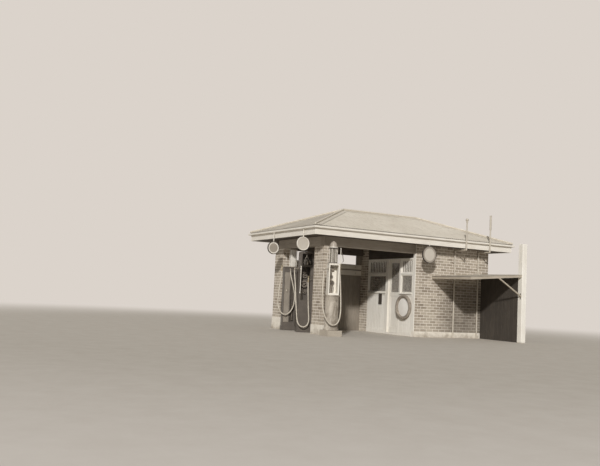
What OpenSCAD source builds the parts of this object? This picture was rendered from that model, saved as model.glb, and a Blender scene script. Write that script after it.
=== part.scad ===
// Corner filling station of the 1920s: a hipped iron roof over a drive-in bay and a small brick office.
// The origin is the outer front corner of the corner pier, on the ground: X along the street, Y to the back.

/* [House] */
// Width of the building over its brickwork
house_w = 6170; // [5600:10:7200]
// Depth of the building over its brickwork
house_d = 3200; // [2900:10:3800]
// Distance from the corner pier's outer face to the office wall
office_x = 3240; // [2900:10:3600]
// Thickness of the office's brick walls
brick_t = 110; // [90:5:160]
// Top of the walls and beams, where the soffit lies
wall_top = 2825; // [2700:5:3100]
// Height of the light band along the foot of the brick wall
band_h = 170; // [100:5:250]
// How far that band stands out
band_t = 12; // [6:1:25]

/* [Piers] */
// Width of a pier along the street
pier_w = 460; // [350:10:560]
// Depth of a pier
pier_d = 580; // [450:10:650]
// Underside of the beams, which is the top of the piers
beam_z = 2550; // [2450:5:2650]
// Thickness of the beams
beam_t = 230; // [150:5:300]
// Height of the corner pier's painted foot
corner_foot_h = 280; // [150:10:450]
// Height of the side pier's painted foot
side_foot_h = 380; // [150:10:450]
// How far a painted foot stands out
foot_out = 10; // [4:1:25]
// Width of the narrow pier at the back of the office wall
office_pier_w = 230; // [180:5:300]

/* [Back of the bay] */
// Top of the boarded screen
screen_z = 1870; // [1600:10:2000]
// Thickness of the screen's boards
screen_t = 40; // [25:1:60]
// Height of each of the two pale rails on the screen
rail_h = 165; // [120:5:190]
// Dark groove between the two rails
rail_gap = 40; // [20:5:60]
// Thickness of the rails
rail_t = 80; // [60:1:100]
// Width of the board that closes the gap over the rails at the office end
gap_end_w = 210; // [100:10:400]

/* [Office wall to the bay] */
// Thickness of the boarded and glazed wall
partition_t = 100; // [80:1:130]
// Height of the window sills
sill_z = 1290; // [1100:10:1400]
// Underside of the glazing bar between the panes
transom_z = 1890; // [1750:10:2000]
// Height of that bar
transom_h = 65; // [40:5:90]
// Top of the windows and of the door frame
head_z = 2420; // [2360:5:2500]
// Width of the window frames' members
sash_w = 45; // [35:1:60]
// How far the sills stand out
sill_out = 35; // [15:1:50]
// Thickness of the glass
glass_t = 6; // [4:1:8]
// Height of the office floor
floor_h = 60; // [40:5:120]

/* [Office door] */
// Near edge of the door frame, measured back from the street front
door_y = 780; // [700:10:900]
// Clear width of the doorway
doorway_w = 600; // [560:10:700]
// Width of the near door post
near_jamb = 40; // [30:1:60]
// Width of the pale far door post
far_jamb = 100; // [60:5:120]
// Thickness of the door
leaf_t = 40; // [32:1:50]
// Gap round the door
leaf_gap = 5; // [5:1:8]
// Width of the door's stiles and top rail
stile_w = 80; // [60:5:110]
// Radius of a hinge pin
hinge_pin_r = 5; // [4:0.5:6]
// Radius of a hinge knuckle
knuckle_r = 9; // [8:0.5:12]
// Height of one hinge knuckle
knuckle_h = 30; // [24:1:40]
// Play between a hinge pin and its knuckle, and between knuckles
hinge_play = 0.3; // [0.2:0.1:0.6]
// Radius of the door knob
knob_r = 28; // [20:1:35]

/* [Roof] */
// Overhang of the gutter's outer face at either end
over_side = 640; // [500:10:800]
// Overhang of the gutter's outer face over the street
over_front = 520; // [400:10:700]
// Overhang of the gutter's outer face at the back
over_back = 830; // [500:10:900]
// Height at which the roof slopes start, over the gutter's outer face
slope_z = 3065; // [3040:5:3300]
// Height of the ridge
ridge_z = 3880; // [3600:10:4200]
// Thickness of the iron sheets with their waves, measured upright
sheet_t = 18; // [12:1:30]
// How far the sheets' edge stays inside the gutter's outer face
sheet_in = 45; // [20:5:70]
// Width of the gutter
gutter_w = 75; // [65:5:95]
// Height of the gutter
gutter_h = 58; // [50:2:70]
// Thickness of the gutter's metal
gutter_t = 4; // [3:0.5:6]
// Radius of the gutter's lower front edge
gutter_r = 14; // [8:2:40]
// Thickness of the fascia board
fascia_t = 25; // [18:1:35]
// How far the fascia board reaches below the soffit
fascia_drop = 15; // [0:5:40]
// Thickness of the soffit lining
soffit_t = 20; // [12:1:30]
// Radius of the round roll on the ridge and hip caps
cap_r = 25; // [18:1:35]
// Width of those caps
cap_w = 260; // [160:10:340]
// Thickness of those caps
cap_t = 7; // [6:1:12]

/* [Lean-to] */
// Left edge of the lean-to on the front wall
lean_x = 3880; // [3700:10:4200]
// How far the lean-to reaches forward
lean_d = 1800; // [1400:10:2200]
// Top of its frame at the wall's left end
lean_z = 1880; // [1800:10:2000]
// Rise of its frame to the right, per unit of length
lean_rise = 0.085; // [0.04:0.005:0.12]
// Fall of its frame to the front, per unit of length
lean_fall = 0.01; // [0.01:0.005:0.05]
// Height of its edge boards
lean_board_h = 70; // [60:5:100]
// Thickness of its edge boards
lean_board_t = 45; // [30:1:60]
// Thickness of its iron sheet
lean_sheet_t = 15; // [10:1:20]
// Side of the square post
post_w = 180; // [120:5:220]
// Height of the post
post_h = 2975; // [2500:5:3100]
// Left face of the post
post_x = 5870; // [5700:10:6000]
// Height of the boarded side
lean_side_h = 2030; // [1700:10:2040]
// Thickness of the boarded side
lean_side_t = 30; // [20:1:40]
// Width of the knee brace
brace_w = 45; // [35:5:80]
// Foot of the knee brace on the post
brace_z = 1365; // [1200:10:1450]
// Reach of the knee brace along the frame
brace_reach = 950; // [700:10:1050]
// Width of its rafters
rafter_w = 45; // [35:5:60]
// Height of its rafters
rafter_h = 55; // [40:5:60]

/* [Vent pipes] */
// Place of the left pipe along the wall
vent_left_x = 4745; // [4650:10:4800]
// Place of the right pipe along the wall
vent_right_x = 5705; // [5600:10:5780]
// Radius of the pipes
vent_r = 22; // [15:1:28]
// Distance of the pipes' centre line from the wall
vent_out = 40; // [35:1:60]
// Distance of the upper pipes' centre line from the gutter
vent_clear = 50; // [35:1:80]
// Height of the pipes' run under the soffit
vent_run_z = 2750; // [2650:5:2770]
// Top of the left pipe
vent_left_top = 3720; // [3400:10:4000]
// Top of the right pipe
vent_right_top = 3920; // [3400:10:4200]
// Height of the lowest clip on a pipe
clip_z = 700; // [500:25:900]
// Distance between the clips
clip_step = 825; // [600:25:900]

/* [Signs] */
// Radius of the two small round signs
small_sign_r = 195; // [150:5:230]
// Radius of the large round sign
large_sign_r = 260; // [200:5:300]
// Thickness of a sign at its rim
sign_t = 56; // [40:2:80]
// Height of the signs' centres
sign_z = 2510; // [2400:10:2540]
// Distance of the rear sign in front of the side pier
rear_sign_gap = 540; // [400:10:700]
// Distance of the corner sign behind the street front
corner_sign_y = 190; // [100:10:300]
// How much higher the corner sign hangs than the others
corner_sign_lift = 55; // [0:5:80]
// Distance of the large sign past the office's corner
large_sign_in = 140; // [60:10:240]
// Outer radius of the ring hung on the office wall
ring_r = 390; // [350:10:400]
// Half of the ring's thickness
ring_tube = 50; // [35:5:60]
// Distance of the ring's centre behind the street front
ring_y = 485; // [470:5:500]
// Height of the ring's centre
ring_z = 890; // [850:10:950]
// Width of the notice board
notice_w = 180; // [140:10:240]
// Height of the notice board
notice_h = 350; // [250:10:450]
// Distance of the notice board behind the door frame
notice_gap = 220; // [120:10:400]

/* [Pumps] */
// Turn of the pumps towards the street corner, in degrees
pump_turn = 18; // [0:1:30]
// Distance of the rear pump's axis in front of the side pier
rear_pump_gap = 370; // [330:10:450]
// Width of the rear pump's cabinet
rear_pump_w = 400; // [340:10:420]
// Depth of the rear pump's cabinet
rear_pump_d = 340; // [280:10:360]
// Height of the rear pump's cabinet
rear_pump_h = 1920; // [1800:10:2000]
// Height of the plinth under a cabinet
plinth_h = 130; // [80:10:180]
// Width of the middle pump's cabinet
mid_pump_w = 420; // [360:10:440]
// Depth of the middle pump's cabinet
mid_pump_d = 400; // [340:10:420]
// Height of the middle pump's cabinet
mid_pump_h = 2400; // [2300:10:2420]
// Foot of the opening that shows the middle pump's works
works_z0 = 950; // [850:10:1050]
// Top of that opening
works_z1 = 1950; // [1850:10:1970]
// Side of the front pump's concrete foot
front_foot_w = 460; // [410:10:480]
// Height of the front pump's concrete foot
front_foot_h = 160; // [120:10:200]
// Radius of the front pump's round body
front_body_r = 192; // [180:5:200]
// Top of the front pump's round body
front_body_z = 1140; // [1000:10:1250]
// Side of the front pump's open case
front_case_w = 310; // [270:10:320]
// Top of the front pump's open case
front_case_z = 2030; // [1950:10:2080]
// Top of the front pump's glass measure
front_glass_top = 2470; // [2400:10:2500]
// Distance of the glass measures' guard rods from their axis
measure_r = 112; // [100:2:118]
// Distance of the front measure's axis to the left of the case's
front_measure_in = 25; // [0:5:35]
// Radius of the hoses
hose_r = 18; // [14:1:22]

/* [Hidden] */
$fn = 48;

pier_y = house_d - pier_d;
eave_x0 = -over_side;
eave_x1 = house_w + over_side;
eave_y0 = -over_front;
eave_y1 = house_d + over_back;
roof_w = eave_x1 - eave_x0;
roof_d = eave_y1 - eave_y0;
roof_x = (eave_x0 + eave_x1) / 2;
roof_y = (eave_y0 + eave_y1) / 2;
roof_slope = (ridge_z - slope_z) / (roof_d / 2);
partition_x = office_x + partition_t;
wall_y1 = pier_y;
leaf_y0 = door_y + near_jamb + leaf_gap;
leaf_y1 = door_y + near_jamb + doorway_w - leaf_gap;
frame_y1 = door_y + near_jamb + doorway_w + far_jamb;
leaf_z0 = floor_h + leaf_gap;
leaf_z1 = head_z - sash_w - leaf_gap;
hinge_y = leaf_y1 + leaf_gap / 2;
hinge_x = partition_x + knuckle_r;
hinge_zs = [leaf_z0 + 250, leaf_z1 - 250];
lean_y = -lean_d;
post_y = lean_y - 20;
gutter_z = slope_z - gutter_h - 17;
hanger_w = 24;
small_sign_x = eave_x0 + hanger_w / 2 + 1;
large_sign_y = eave_y0 + gutter_w / 2;
rear_pump_at = [80, pier_y - rear_pump_gap];
mid_pump_at = [130, 1300];
front_pump_at = [95, -400];
vent_y = eave_y0 - vent_clear;
lean_w = post_x - lean_x;
head_gap = 30;
cap_slab = 40;
cap_over = 15;
grip_h = 60;
neck_r = 12;
neck_h = 180;
cup_r = 32;
cup_h = 55;
holder_t = 12;
seat_play = 0.3;
outlet_r = 16;
outlet_rise = 45;
root = 5;

// A hose's route in its pump's own frame, from the outlet to the nozzle: to the side, to the back, and down
// from the cabinet's top
rear_drops = [[-20, -243, 75], [-20, -243, 185], [55, -235, 450], [135, -225, 720], [155, -220, 980],
    [110, -245, 1240], [-50, -290, 1440], [-225, -310, 1440], [-350, -300, 1280], [-385, -250, 1020],
    [-345, -195, 680], [-282, -132, 230], [-280, -130, 100]];
middle_drops = [[-328, 104, 540], [-328, 104, 660], [-300, 60, 900], [-285, -20, 1180], [-290, -150, 1480],
    [-270, -270, 1800], [-260, -360, 2140], [-115, -370, 2250], [30, -360, 2220], [115, -340, 2085],
    [70, -335, 1755], [42, -262, 1040], [42, -260, 900]];
front_drops = [[-295, -96, 210], [-295, -96, 330], [-320, -160, 640], [-335, -230, 960], [-325, -285, 1240],
    [-255, -320, 1510], [-120, -320, 1700], [50, -270, 1740], [180, -195, 1620], [240, -120, 1380],
    [240, -50, 1020], [209, 38, 310], [207, 40, 170]];

module box(a, b) {
    translate(a) cube(b - a);
}

// Piers and beams

module pier(x, y, w, z0, z1) {
    box([x, y, z0], [x + w, y + pier_d, z1]);
}

module foot(x, y, h) {
    box([x - foot_out, y - foot_out, 0], [x + pier_w + foot_out, y + pier_d + foot_out, h]);
}

module corner_pier() {
    color("rosybrown") pier(0, 0, pier_w, corner_foot_h, beam_z);
}

module corner_pier_foot() {
    color("ivory") foot(0, 0, corner_foot_h);
}

module side_pier() {
    color("rosybrown") pier(0, pier_y, pier_w, side_foot_h, beam_z);
}

module side_pier_foot() {
    color("ivory") foot(0, pier_y, side_foot_h);
}

module office_pier() {
    color("dimgray") pier(office_x, pier_y, office_pier_w, 0, wall_top);
}

module front_beam() {
    color("dimgray") box([0, 0, beam_z], [office_x, beam_t, wall_top]);
}

module left_beam() {
    color("dimgray") box([0, beam_t, beam_z], [beam_t, house_d - beam_t, wall_top]);
}

module rear_beam() {
    color("dimgray") box([0, house_d - beam_t, beam_z], [office_x, house_d, wall_top]);
}

// Boarded screen at the back of the bay, with an open gap above its two rails

module rear_screen() {
    y = house_d - beam_t / 2 - screen_t / 2;
    color("saddlebrown") difference() {
        box([pier_w, y, 0], [office_x, y + screen_t, screen_z]);
        foot(0, pier_y, side_foot_h);
    }
}

module screen_rails() {
    mid = house_d - beam_t / 2;
    upper = screen_z + rail_h + rail_gap;
    color("tan") {
        box([pier_w, mid - rail_t / 2, screen_z], [office_x, mid + rail_t / 2, screen_z + rail_h]);
        box([pier_w, mid - rail_t / 2, upper], [office_x, mid + rail_t / 2, upper + rail_h]);
        box([pier_w, mid - screen_t / 2, screen_z + rail_h], [office_x, mid + screen_t / 2, upper]);
        box([office_x - gap_end_w, mid - screen_t / 2, upper + rail_h], [office_x, mid + screen_t / 2, beam_z]);
    }
}

// Brick office

module front_wall() {
    color("rosybrown") box([office_x, 0, 0], [house_w, brick_t, wall_top]);
}

module wall_band() {
    color("ivory") {
        box([office_x, -band_t, 0], [house_w + band_t, 0, band_h]);
        box([house_w, 0, 0], [house_w + band_t, house_d, band_h]);
    }
}

module right_wall() {
    color("rosybrown")
        box([house_w - brick_t, brick_t, 0], [house_w, house_d - brick_t, wall_top]);
}

module rear_wall() {
    color("rosybrown")
        box([office_x + office_pier_w, house_d - brick_t, 0], [house_w, house_d, wall_top]);
}

module office_floor() {
    color("silver") difference() {
        box([partition_x, brick_t, 0], [house_w - brick_t, house_d - brick_t, floor_h]);
        box([office_x, pier_y, -1], [office_x + office_pier_w, house_d, floor_h + 1]);
    }
}

// Boarded and glazed wall between the office and the bay

module near_dado() {
    color("ivory") box([office_x, brick_t, 0], [partition_x, door_y, sill_z]);
}

module far_dado() {
    color("ivory") box([office_x, frame_y1, 0], [partition_x, wall_y1, sill_z]);
}

module wall_head() {
    color("dimgray") box([office_x, brick_t, head_z], [partition_x, wall_y1, wall_top]);
}

module pane_hole(y0, y1, z0, z1) {
    box([office_x - 1, y0 + sash_w, z0], [partition_x + 1, y1 - sash_w, z1]);
}

module window_frame(y0, y1) {
    difference() {
        box([office_x, y0, sill_z], [partition_x, y1, head_z]);
        pane_hole(y0, y1, sill_z + sash_w, transom_z);
        pane_hole(y0, y1, transom_z + transom_h, head_z - sash_w);
    }
    box([office_x - sill_out, y0, sill_z], [office_x, y1, sill_z + sash_w / 2]);
}

module near_window() {
    color("ivory") window_frame(brick_t, door_y);
}

module far_window() {
    color("ivory") window_frame(frame_y1, wall_y1);
}

module pane(y0, y1, z0, z1) {
    mid = office_x + partition_t / 2;
    box([mid - glass_t / 2, y0 + sash_w, z0], [mid + glass_t / 2, y1 - sash_w, z1]);
}

module bay_glass() {
    color("lightblue", 0.4) for (y = [[brick_t, door_y], [frame_y1, wall_y1]]) {
        pane(y[0], y[1], sill_z + sash_w, transom_z);
        pane(y[0], y[1], transom_z + transom_h, head_z - sash_w);
    }
}

// Office door, hung on the far door post and opening into the office

module door_frame() {
    near = door_y + near_jamb;
    far = near + doorway_w;
    stop_w = 18;
    stop_t = 20;
    stop_x = partition_x - leaf_t - leaf_gap - stop_t;
    color("ivory") {
        box([office_x, door_y, 0], [partition_x, near, head_z]);
        box([office_x, far, 0], [partition_x, frame_y1, head_z]);
        box([office_x, near, head_z - sash_w], [partition_x, far, head_z]);
        box([office_x, near, 0], [partition_x, far, floor_h]);
        for (y = [near, far - stop_w]) box([stop_x, y, floor_h], [stop_x + stop_t, y + stop_w, head_z - sash_w]);
        box([stop_x, near, head_z - sash_w - stop_w], [stop_x + stop_t, far, head_z - sash_w]);
    }
}

module door_hinge_pins() {
    plate_t = 4;
    color("dimgray") for (z = hinge_zs) {
        translate([hinge_x, hinge_y, z - knuckle_h]) cylinder(h = knuckle_h, r = knuckle_r);
        translate([hinge_x, hinge_y, z + knuckle_h + 2 * hinge_play]) cylinder(h = knuckle_h, r = knuckle_r);
        translate([hinge_x, hinge_y, z - 1]) cylinder(h = knuckle_h + 2 * hinge_play + 2, r = hinge_pin_r);
        for (dz = [-knuckle_h, knuckle_h + 2 * hinge_play])
            box([partition_x, hinge_y, z + dz], [partition_x + plate_t, hinge_y + far_jamb / 2, z + dz + knuckle_h]);
    }
}

module door_leaf() {
    x0 = partition_x - leaf_t;
    panel_in = 12;
    glass_z0 = sill_z + sash_w;
    color("ivory") {
        difference() {
            box([x0, leaf_y0, leaf_z0], [partition_x, leaf_y1, leaf_z1]);
            box([x0 - 1, leaf_y0 + stile_w, glass_z0], [partition_x + 1, leaf_y1 - stile_w, leaf_z1 - stile_w]);
            for (x = [x0 - 1, partition_x - panel_in])
                box([x, leaf_y0 + stile_w, leaf_z0 + 2 * stile_w],
                    [x + panel_in + 1, leaf_y1 - stile_w, glass_z0 - 1.5 * stile_w]);
        }
        for (z = hinge_zs) difference() {
            union() {
                translate([hinge_x, hinge_y, z + hinge_play]) cylinder(h = knuckle_h, r = knuckle_r);
                box([partition_x, leaf_y1 - stile_w / 2, z + hinge_play],
                    [partition_x + 4, hinge_y, z + hinge_play + knuckle_h]);
            }
            translate([hinge_x, hinge_y, z - 1]) cylinder(h = knuckle_h + 4, r = hinge_pin_r + hinge_play);
        }
    }
}

module door_glass() {
    mid = partition_x - leaf_t / 2;
    color("lightblue", 0.4)
        box([mid - glass_t / 2, leaf_y0 + stile_w, sill_z + sash_w],
            [mid + glass_t / 2, leaf_y1 - stile_w, leaf_z1 - stile_w]);
}

module door_knobs() {
    neck = 40;
    at = [partition_x, leaf_y0 + stile_w / 2, sill_z - 250];
    color("goldenrod") for (side = [0, 1])
        translate([at[0] - side * leaf_t, at[1], at[2]]) mirror([side, 0, 0]) rotate([0, 90, 0]) {
            cylinder(h = 5, r = knob_r);
            cylinder(h = neck, r = knob_r / 3);
            translate([0, 0, neck]) sphere(r = knob_r);
        }
}

// Roof

// Everything below the four slopes, with the slopes lowered by dz
module below_slopes(dz) {
    lift = slope_z - dz;
    top = ridge_z - dz;
    half = roof_d / 2;
    intersection() {
        translate([eave_x0, 0, 0]) rotate([90, 0, 90]) linear_extrude(roof_w)
            polygon([[eave_y0, beam_z], [eave_y1, beam_z], [eave_y1, lift], [roof_y, top], [eave_y0, lift]]);
        translate([0, eave_y1, 0]) rotate([90, 0, 0]) linear_extrude(roof_d)
            polygon([[eave_x0, beam_z], [eave_x1, beam_z], [eave_x1, lift], [eave_x1 - half, top],
                [eave_x0 + half, top], [eave_x0, lift]]);
    }
}

module plan_rect(inset, z0, z1) {
    box([eave_x0 + inset, eave_y0 + inset, z0], [eave_x1 - inset, eave_y1 - inset, z1]);
}

// One iron slope: the shell between two heights, cut to its own part of the plan
module slope(plan) {
    intersection() {
        difference() {
            below_slopes(0);
            below_slopes(sheet_t);
        }
        linear_extrude(ridge_z + 1) polygon(plan);
    }
}

function end_plan(x, side) = [[x, eave_y0 + sheet_in], [x + side * (roof_d / 2 - sheet_in), roof_y],
    [x, eave_y1 - sheet_in]];
function long_plan(y) = [[eave_x0 + sheet_in, y], [eave_x1 - sheet_in, y],
    [eave_x1 - roof_d / 2, roof_y], [eave_x0 + roof_d / 2, roof_y]];

module roof_front() {
    color("lightgray") slope(long_plan(eave_y0 + sheet_in));
}

module roof_rear() {
    color("lightgray") slope(long_plan(eave_y1 - sheet_in));
}

module roof_left() {
    color("gainsboro") slope(end_plan(eave_x0 + sheet_in, 1));
}

module roof_right() {
    color("gainsboro") slope(end_plan(eave_x1 - sheet_in, -1));
}

// Plan strip either side of a line between two points, wide enough for a cap
module cap_strip(a, b) {
    turn = atan2(b[1] - a[1], b[0] - a[0]);
    translate(a) rotate(turn) translate([-cap_w / 2, -cap_w / 2]) square([norm(b - a) + cap_w, cap_w]);
}

// Round roll between two points on the roof's top lines
module cap_roll(a, b) {
    run = norm([b[0] - a[0], b[1] - a[1]]);
    translate(a) rotate([0, 90 - atan((b[2] - a[2]) / run), atan2(b[1] - a[1], b[0] - a[0])])
        cylinder(h = norm(b - a), r = cap_r);
}

module roof_caps() {
    half = roof_d / 2;
    ridge_ends = [[eave_x0 + half, roof_y], [eave_x1 - half, roof_y]];
    lift = cap_r * 1.22;
    foot_z = slope_z + sheet_in * roof_slope;
    corners = [for (i = [0, 1], y = [eave_y0 + sheet_in, eave_y1 - sheet_in])
        [[i == 0 ? eave_x0 + sheet_in : eave_x1 - sheet_in, y], ridge_ends[i]]];
    color("silver") {
        intersection() {
            difference() {
                below_slopes(-cap_t);
                below_slopes(0);
            }
            plan_rect(sheet_in, slope_z, ridge_z + cap_r);
            linear_extrude(ridge_z + cap_r) {
                cap_strip(ridge_ends[0], ridge_ends[1]);
                for (c = corners) cap_strip(c[0], c[1]);
            }
        }
        cap_roll(concat(ridge_ends[0], ridge_z + lift), concat(ridge_ends[1], ridge_z + lift));
        for (c = corners) cap_roll(concat(c[0], foot_z + lift), concat(c[1], ridge_z + lift));
        for (end = ridge_ends) translate(concat(end, ridge_z + lift)) sphere(r = cap_r * 1.1);
    }
}

module soffit() {
    color("dimgray") plan_rect(gutter_w + fascia_t, wall_top, wall_top + soffit_t);
}

module fascia() {
    color("white") intersection() {
        difference() {
            plan_rect(gutter_w, wall_top - fascia_drop, ridge_z);
            plan_rect(gutter_w + fascia_t, wall_top - fascia_drop - 1, ridge_z + 1);
        }
        below_slopes(sheet_t);
    }
}

// Section of the gutter: x from its outer face to the fascia, y upward
function gutter_arc(grow) = [for (a = [180 : 15 : 270])
    [gutter_r + (gutter_r - grow) * cos(a), gutter_r + (gutter_r - grow) * sin(a)]];

module gutter_section() {
    difference() {
        polygon(concat([[gutter_w, gutter_h], [0, gutter_h]], gutter_arc(0), [[gutter_w, 0]]));
        polygon(concat([[gutter_w - gutter_t, gutter_h + 1], [gutter_t, gutter_h + 1]], gutter_arc(gutter_t),
            [[gutter_w - gutter_t, gutter_t]]));
    }
}

module gutter_run(len, dist) {
    intersection() {
        translate([-len / 2, -dist, gutter_z]) rotate([90, 0, 90]) linear_extrude(len) gutter_section();
        linear_extrude(ridge_z) polygon([[-len / 2, -dist], [len / 2, -dist],
            [len / 2 - gutter_w, -dist + gutter_w], [-len / 2 + gutter_w, -dist + gutter_w]]);
    }
}

module gutter() {
    color("white") for (turn = [0, 180]) {
        translate([roof_x, roof_y, 0]) rotate(turn) gutter_run(roof_w, roof_d / 2);
        translate([roof_x, roof_y, 0]) rotate(turn + 90) gutter_run(roof_d, roof_w / 2);
    }
}

// Lean-to in front of the brick wall

module lean_tilted() {
    intersection() {
        translate([lean_x, 0, lean_z]) rotate([atan(lean_fall), -atan(lean_rise), 0]) children();
        box([lean_x, lean_y, 0], [post_x, 0, post_h]);
    }
}

module pipe_slots() {
    play = 4;
    for (x = [vent_left_x, vent_right_x])
        box([x - vent_r - play, -vent_out - vent_r - play, 0], [x + vent_r + play, 1, post_h]);
}

module lean_boards() {
    over = 100;
    for (i = [1 : 3]) box([i * lean_w / 4 - rafter_w / 2, -lean_d - over, -rafter_h],
        [i * lean_w / 4 + rafter_w / 2, over, 0]);
    box([-over, -lean_d - over, -lean_board_h], [lean_board_t, over, 0]);
    box([lean_w - lean_board_t, -lean_d - over, -lean_board_h], [lean_w + over, over, 0]);
    box([-over, -lean_d - over, -lean_board_h], [lean_w + over, -lean_d + lean_board_t, 0]);
    box([-over, -lean_board_t, -lean_board_h], [lean_w + over, over, 0]);
}

module lean_brace() {
    top_x = post_x - brace_reach;
    top_z = lean_z + 50;
    y = lean_y + 5;
    translate([0, y + brace_w - 10, 0]) rotate([90, 0, 0]) linear_extrude(brace_w - 10)
        polygon([[top_x - brace_w, top_z], [top_x + brace_w / 2, top_z], [post_x, brace_z + brace_w],
            [post_x, brace_z]]);
}

module lean_to_frame() {
    color("tan") {
        difference() {
            lean_tilted() lean_boards();
            pipe_slots();
        }
        difference() {
            lean_brace();
            lean_tilted() box([-100, -lean_d - 100, -lean_board_h], [post_x, 100, 500]);
        }
    }
}

module lean_to_sheet() {
    color("gray") difference() {
        lean_tilted() box([-100, -lean_d - 100, 0], [post_x, 100, lean_sheet_t]);
        pipe_slots();
    }
}

module lean_to_post() {
    color("white") box([post_x, post_y, 0], [post_x + post_w, post_y + post_w, post_h]);
}

module lean_to_side() {
    color("saddlebrown") box([post_x, post_y + post_w, 0], [post_x + lean_side_t, -band_t, lean_side_h]);
}

// Vent pipes: up the wall, out under the soffit and up in front of the gutter

module vent_pipe(x, top) {
    translate([x, -vent_out, 0]) cylinder(h = vent_run_z, r = vent_r);
    translate([x, -vent_out, vent_run_z]) sphere(r = vent_r);
    translate([x, vent_y, vent_run_z]) rotate([-90, 0, 0]) cylinder(h = -vent_y - vent_out, r = vent_r);
    translate([x, vent_y, vent_run_z]) sphere(r = vent_r);
    translate([x, vent_y, vent_run_z]) cylinder(h = top - vent_run_z, r = vent_r);
    for (z = [clip_z : clip_step : vent_run_z - clip_z / 2])
        box([x - vent_r - 14, -vent_out, z], [x + vent_r + 14, 0, z + 30]);
}

module left_vent_pipe() {
    color("white") {
        vent_pipe(vent_left_x, vent_left_top - 30);
        translate([vent_left_x, vent_y, vent_left_top - 30]) sphere(r = 48);
    }
}

module right_vent_pipe() {
    head_h = 460;
    color("white") {
        vent_pipe(vent_right_x, vent_right_top - head_h);
        translate([vent_right_x, vent_y, vent_right_top - head_h]) cylinder(h = head_h, r = vent_r + 10);
    }
}

// Round signs under the eaves, bare on both faces

module round_sign(x, y, z, r) {
    rim = 16;
    color("white") {
        translate([x, y, z]) rotate([90, 0, 0]) {
            cylinder(h = sign_t - 16, r = r - rim / 2, center = true);
            rotate_extrude() translate([r - rim, -sign_t / 2]) square([rim, sign_t]);
        }
        box([x - hanger_w / 2, y - 4, z + r - 4], [x + hanger_w / 2, y + 4, gutter_z]);
    }
}

module rear_eave_sign() {
    round_sign(small_sign_x, pier_y - rear_sign_gap, sign_z, small_sign_r);
}

module corner_eave_sign() {
    round_sign(small_sign_x + gutter_w / 3, corner_sign_y, sign_z + corner_sign_lift, small_sign_r);
}

module front_eave_sign() {
    round_sign(office_x + large_sign_in, large_sign_y, sign_z, large_sign_r);
}

module wall_ring() {
    color("gray") translate([office_x, ring_y, ring_z]) rotate([0, -90, 0]) {
        translate([0, 0, ring_tube]) rotate_extrude() translate([ring_r - ring_tube, 0]) circle(r = ring_tube);
        cylinder(h = ring_tube, r = ring_r - 1.6 * ring_tube);
        cylinder(h = ring_tube / 2, r = ring_r - ring_tube);
    }
}

module notice_board() {
    y = frame_y1 + notice_gap;
    color("gray") box([office_x - 20, y, sill_z - notice_h], [office_x, y + notice_w, sill_z]);
}

// Pumps, each drawn in its own frame with its front towards the street

module at_pump(c) {
    translate([c[0], c[1], 0]) rotate(-pump_turn) children();
}

function first(route) = route[0];
function last(route) = route[len(route) - 1];
function down_from(top, p) = [p[0], p[1], top - p[2]];
function placed(c, top, route) = [for (p = route) [c[0] + p[0] * cos(pump_turn) + p[1] * sin(pump_turn),
    c[1] - p[0] * sin(pump_turn) + p[1] * cos(pump_turn), top - p[2]]];

module block(w, d, z0, z1) {
    box([-w / 2, -d / 2, z0], [w / 2, d / 2, z1]);
}

module rods(z0, z1, r, count) {
    for (i = [0 : count - 1]) rotate(i * 360 / count) translate([r, 0, z0]) cylinder(h = z1 - z0, r = 7);
}

// Glass measure between two flanges, with its guard rods
module measure(z0, z1) {
    rim = 30;
    translate([0, 0, z0]) cylinder(h = z1 - z0, r = measure_r - 14);
    for (z = [z0, z1 - rim]) translate([0, 0, z]) cylinder(h = rim, r = measure_r + 14);
    rods(z0, z1, measure_r, 6);
}

// Ring that a nozzle's neck passes through, on an arm to the cabinet's face at x
module holder(at, x) {
    z = at[2] + grip_h + 4;
    difference() {
        union() {
            translate([at[0], at[1], z]) cylinder(h = holder_t, r = neck_r + 12);
            box([min(at[0], x), at[1] - 12, z], [max(at[0], x), at[1] + 12, z + holder_t]);
        }
        translate([at[0], at[1], z - 1]) cylinder(h = holder_t + 2, r = neck_r + seat_play);
    }
}

// Pipe from the cabinet that bends down to the hose, turned from the hose towards the cabinet
module outlet(at, reach, turn) {
    translate(at) {
        cylinder(h = outlet_rise - outlet_r - 6, r = hose_r + 6);
        cylinder(h = outlet_rise, r = outlet_r);
        translate([0, 0, outlet_rise]) {
            sphere(r = outlet_r);
            rotate([0, 90, turn]) {
                cylinder(h = reach, r = outlet_r);
                translate([0, 0, reach - root - 10]) cylinder(h = 10 + root, r = outlet_r + 12);
            }
        }
    }
}

// Gear wheel whose back is at y, facing the street
module gear(x, y, z, r, depth, teeth) {
    tooth = r * 0.24;
    translate([x, y, z]) rotate([90, 0, 0]) {
        cylinder(h = depth, r = r);
        cylinder(h = depth + 18, r = r / 3);
        for (i = [0 : teeth - 1]) rotate(i * 360 / teeth)
            box([r - 6, -tooth / 2, 4], [r + tooth, tooth / 2, depth - 4]);
    }
}

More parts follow.
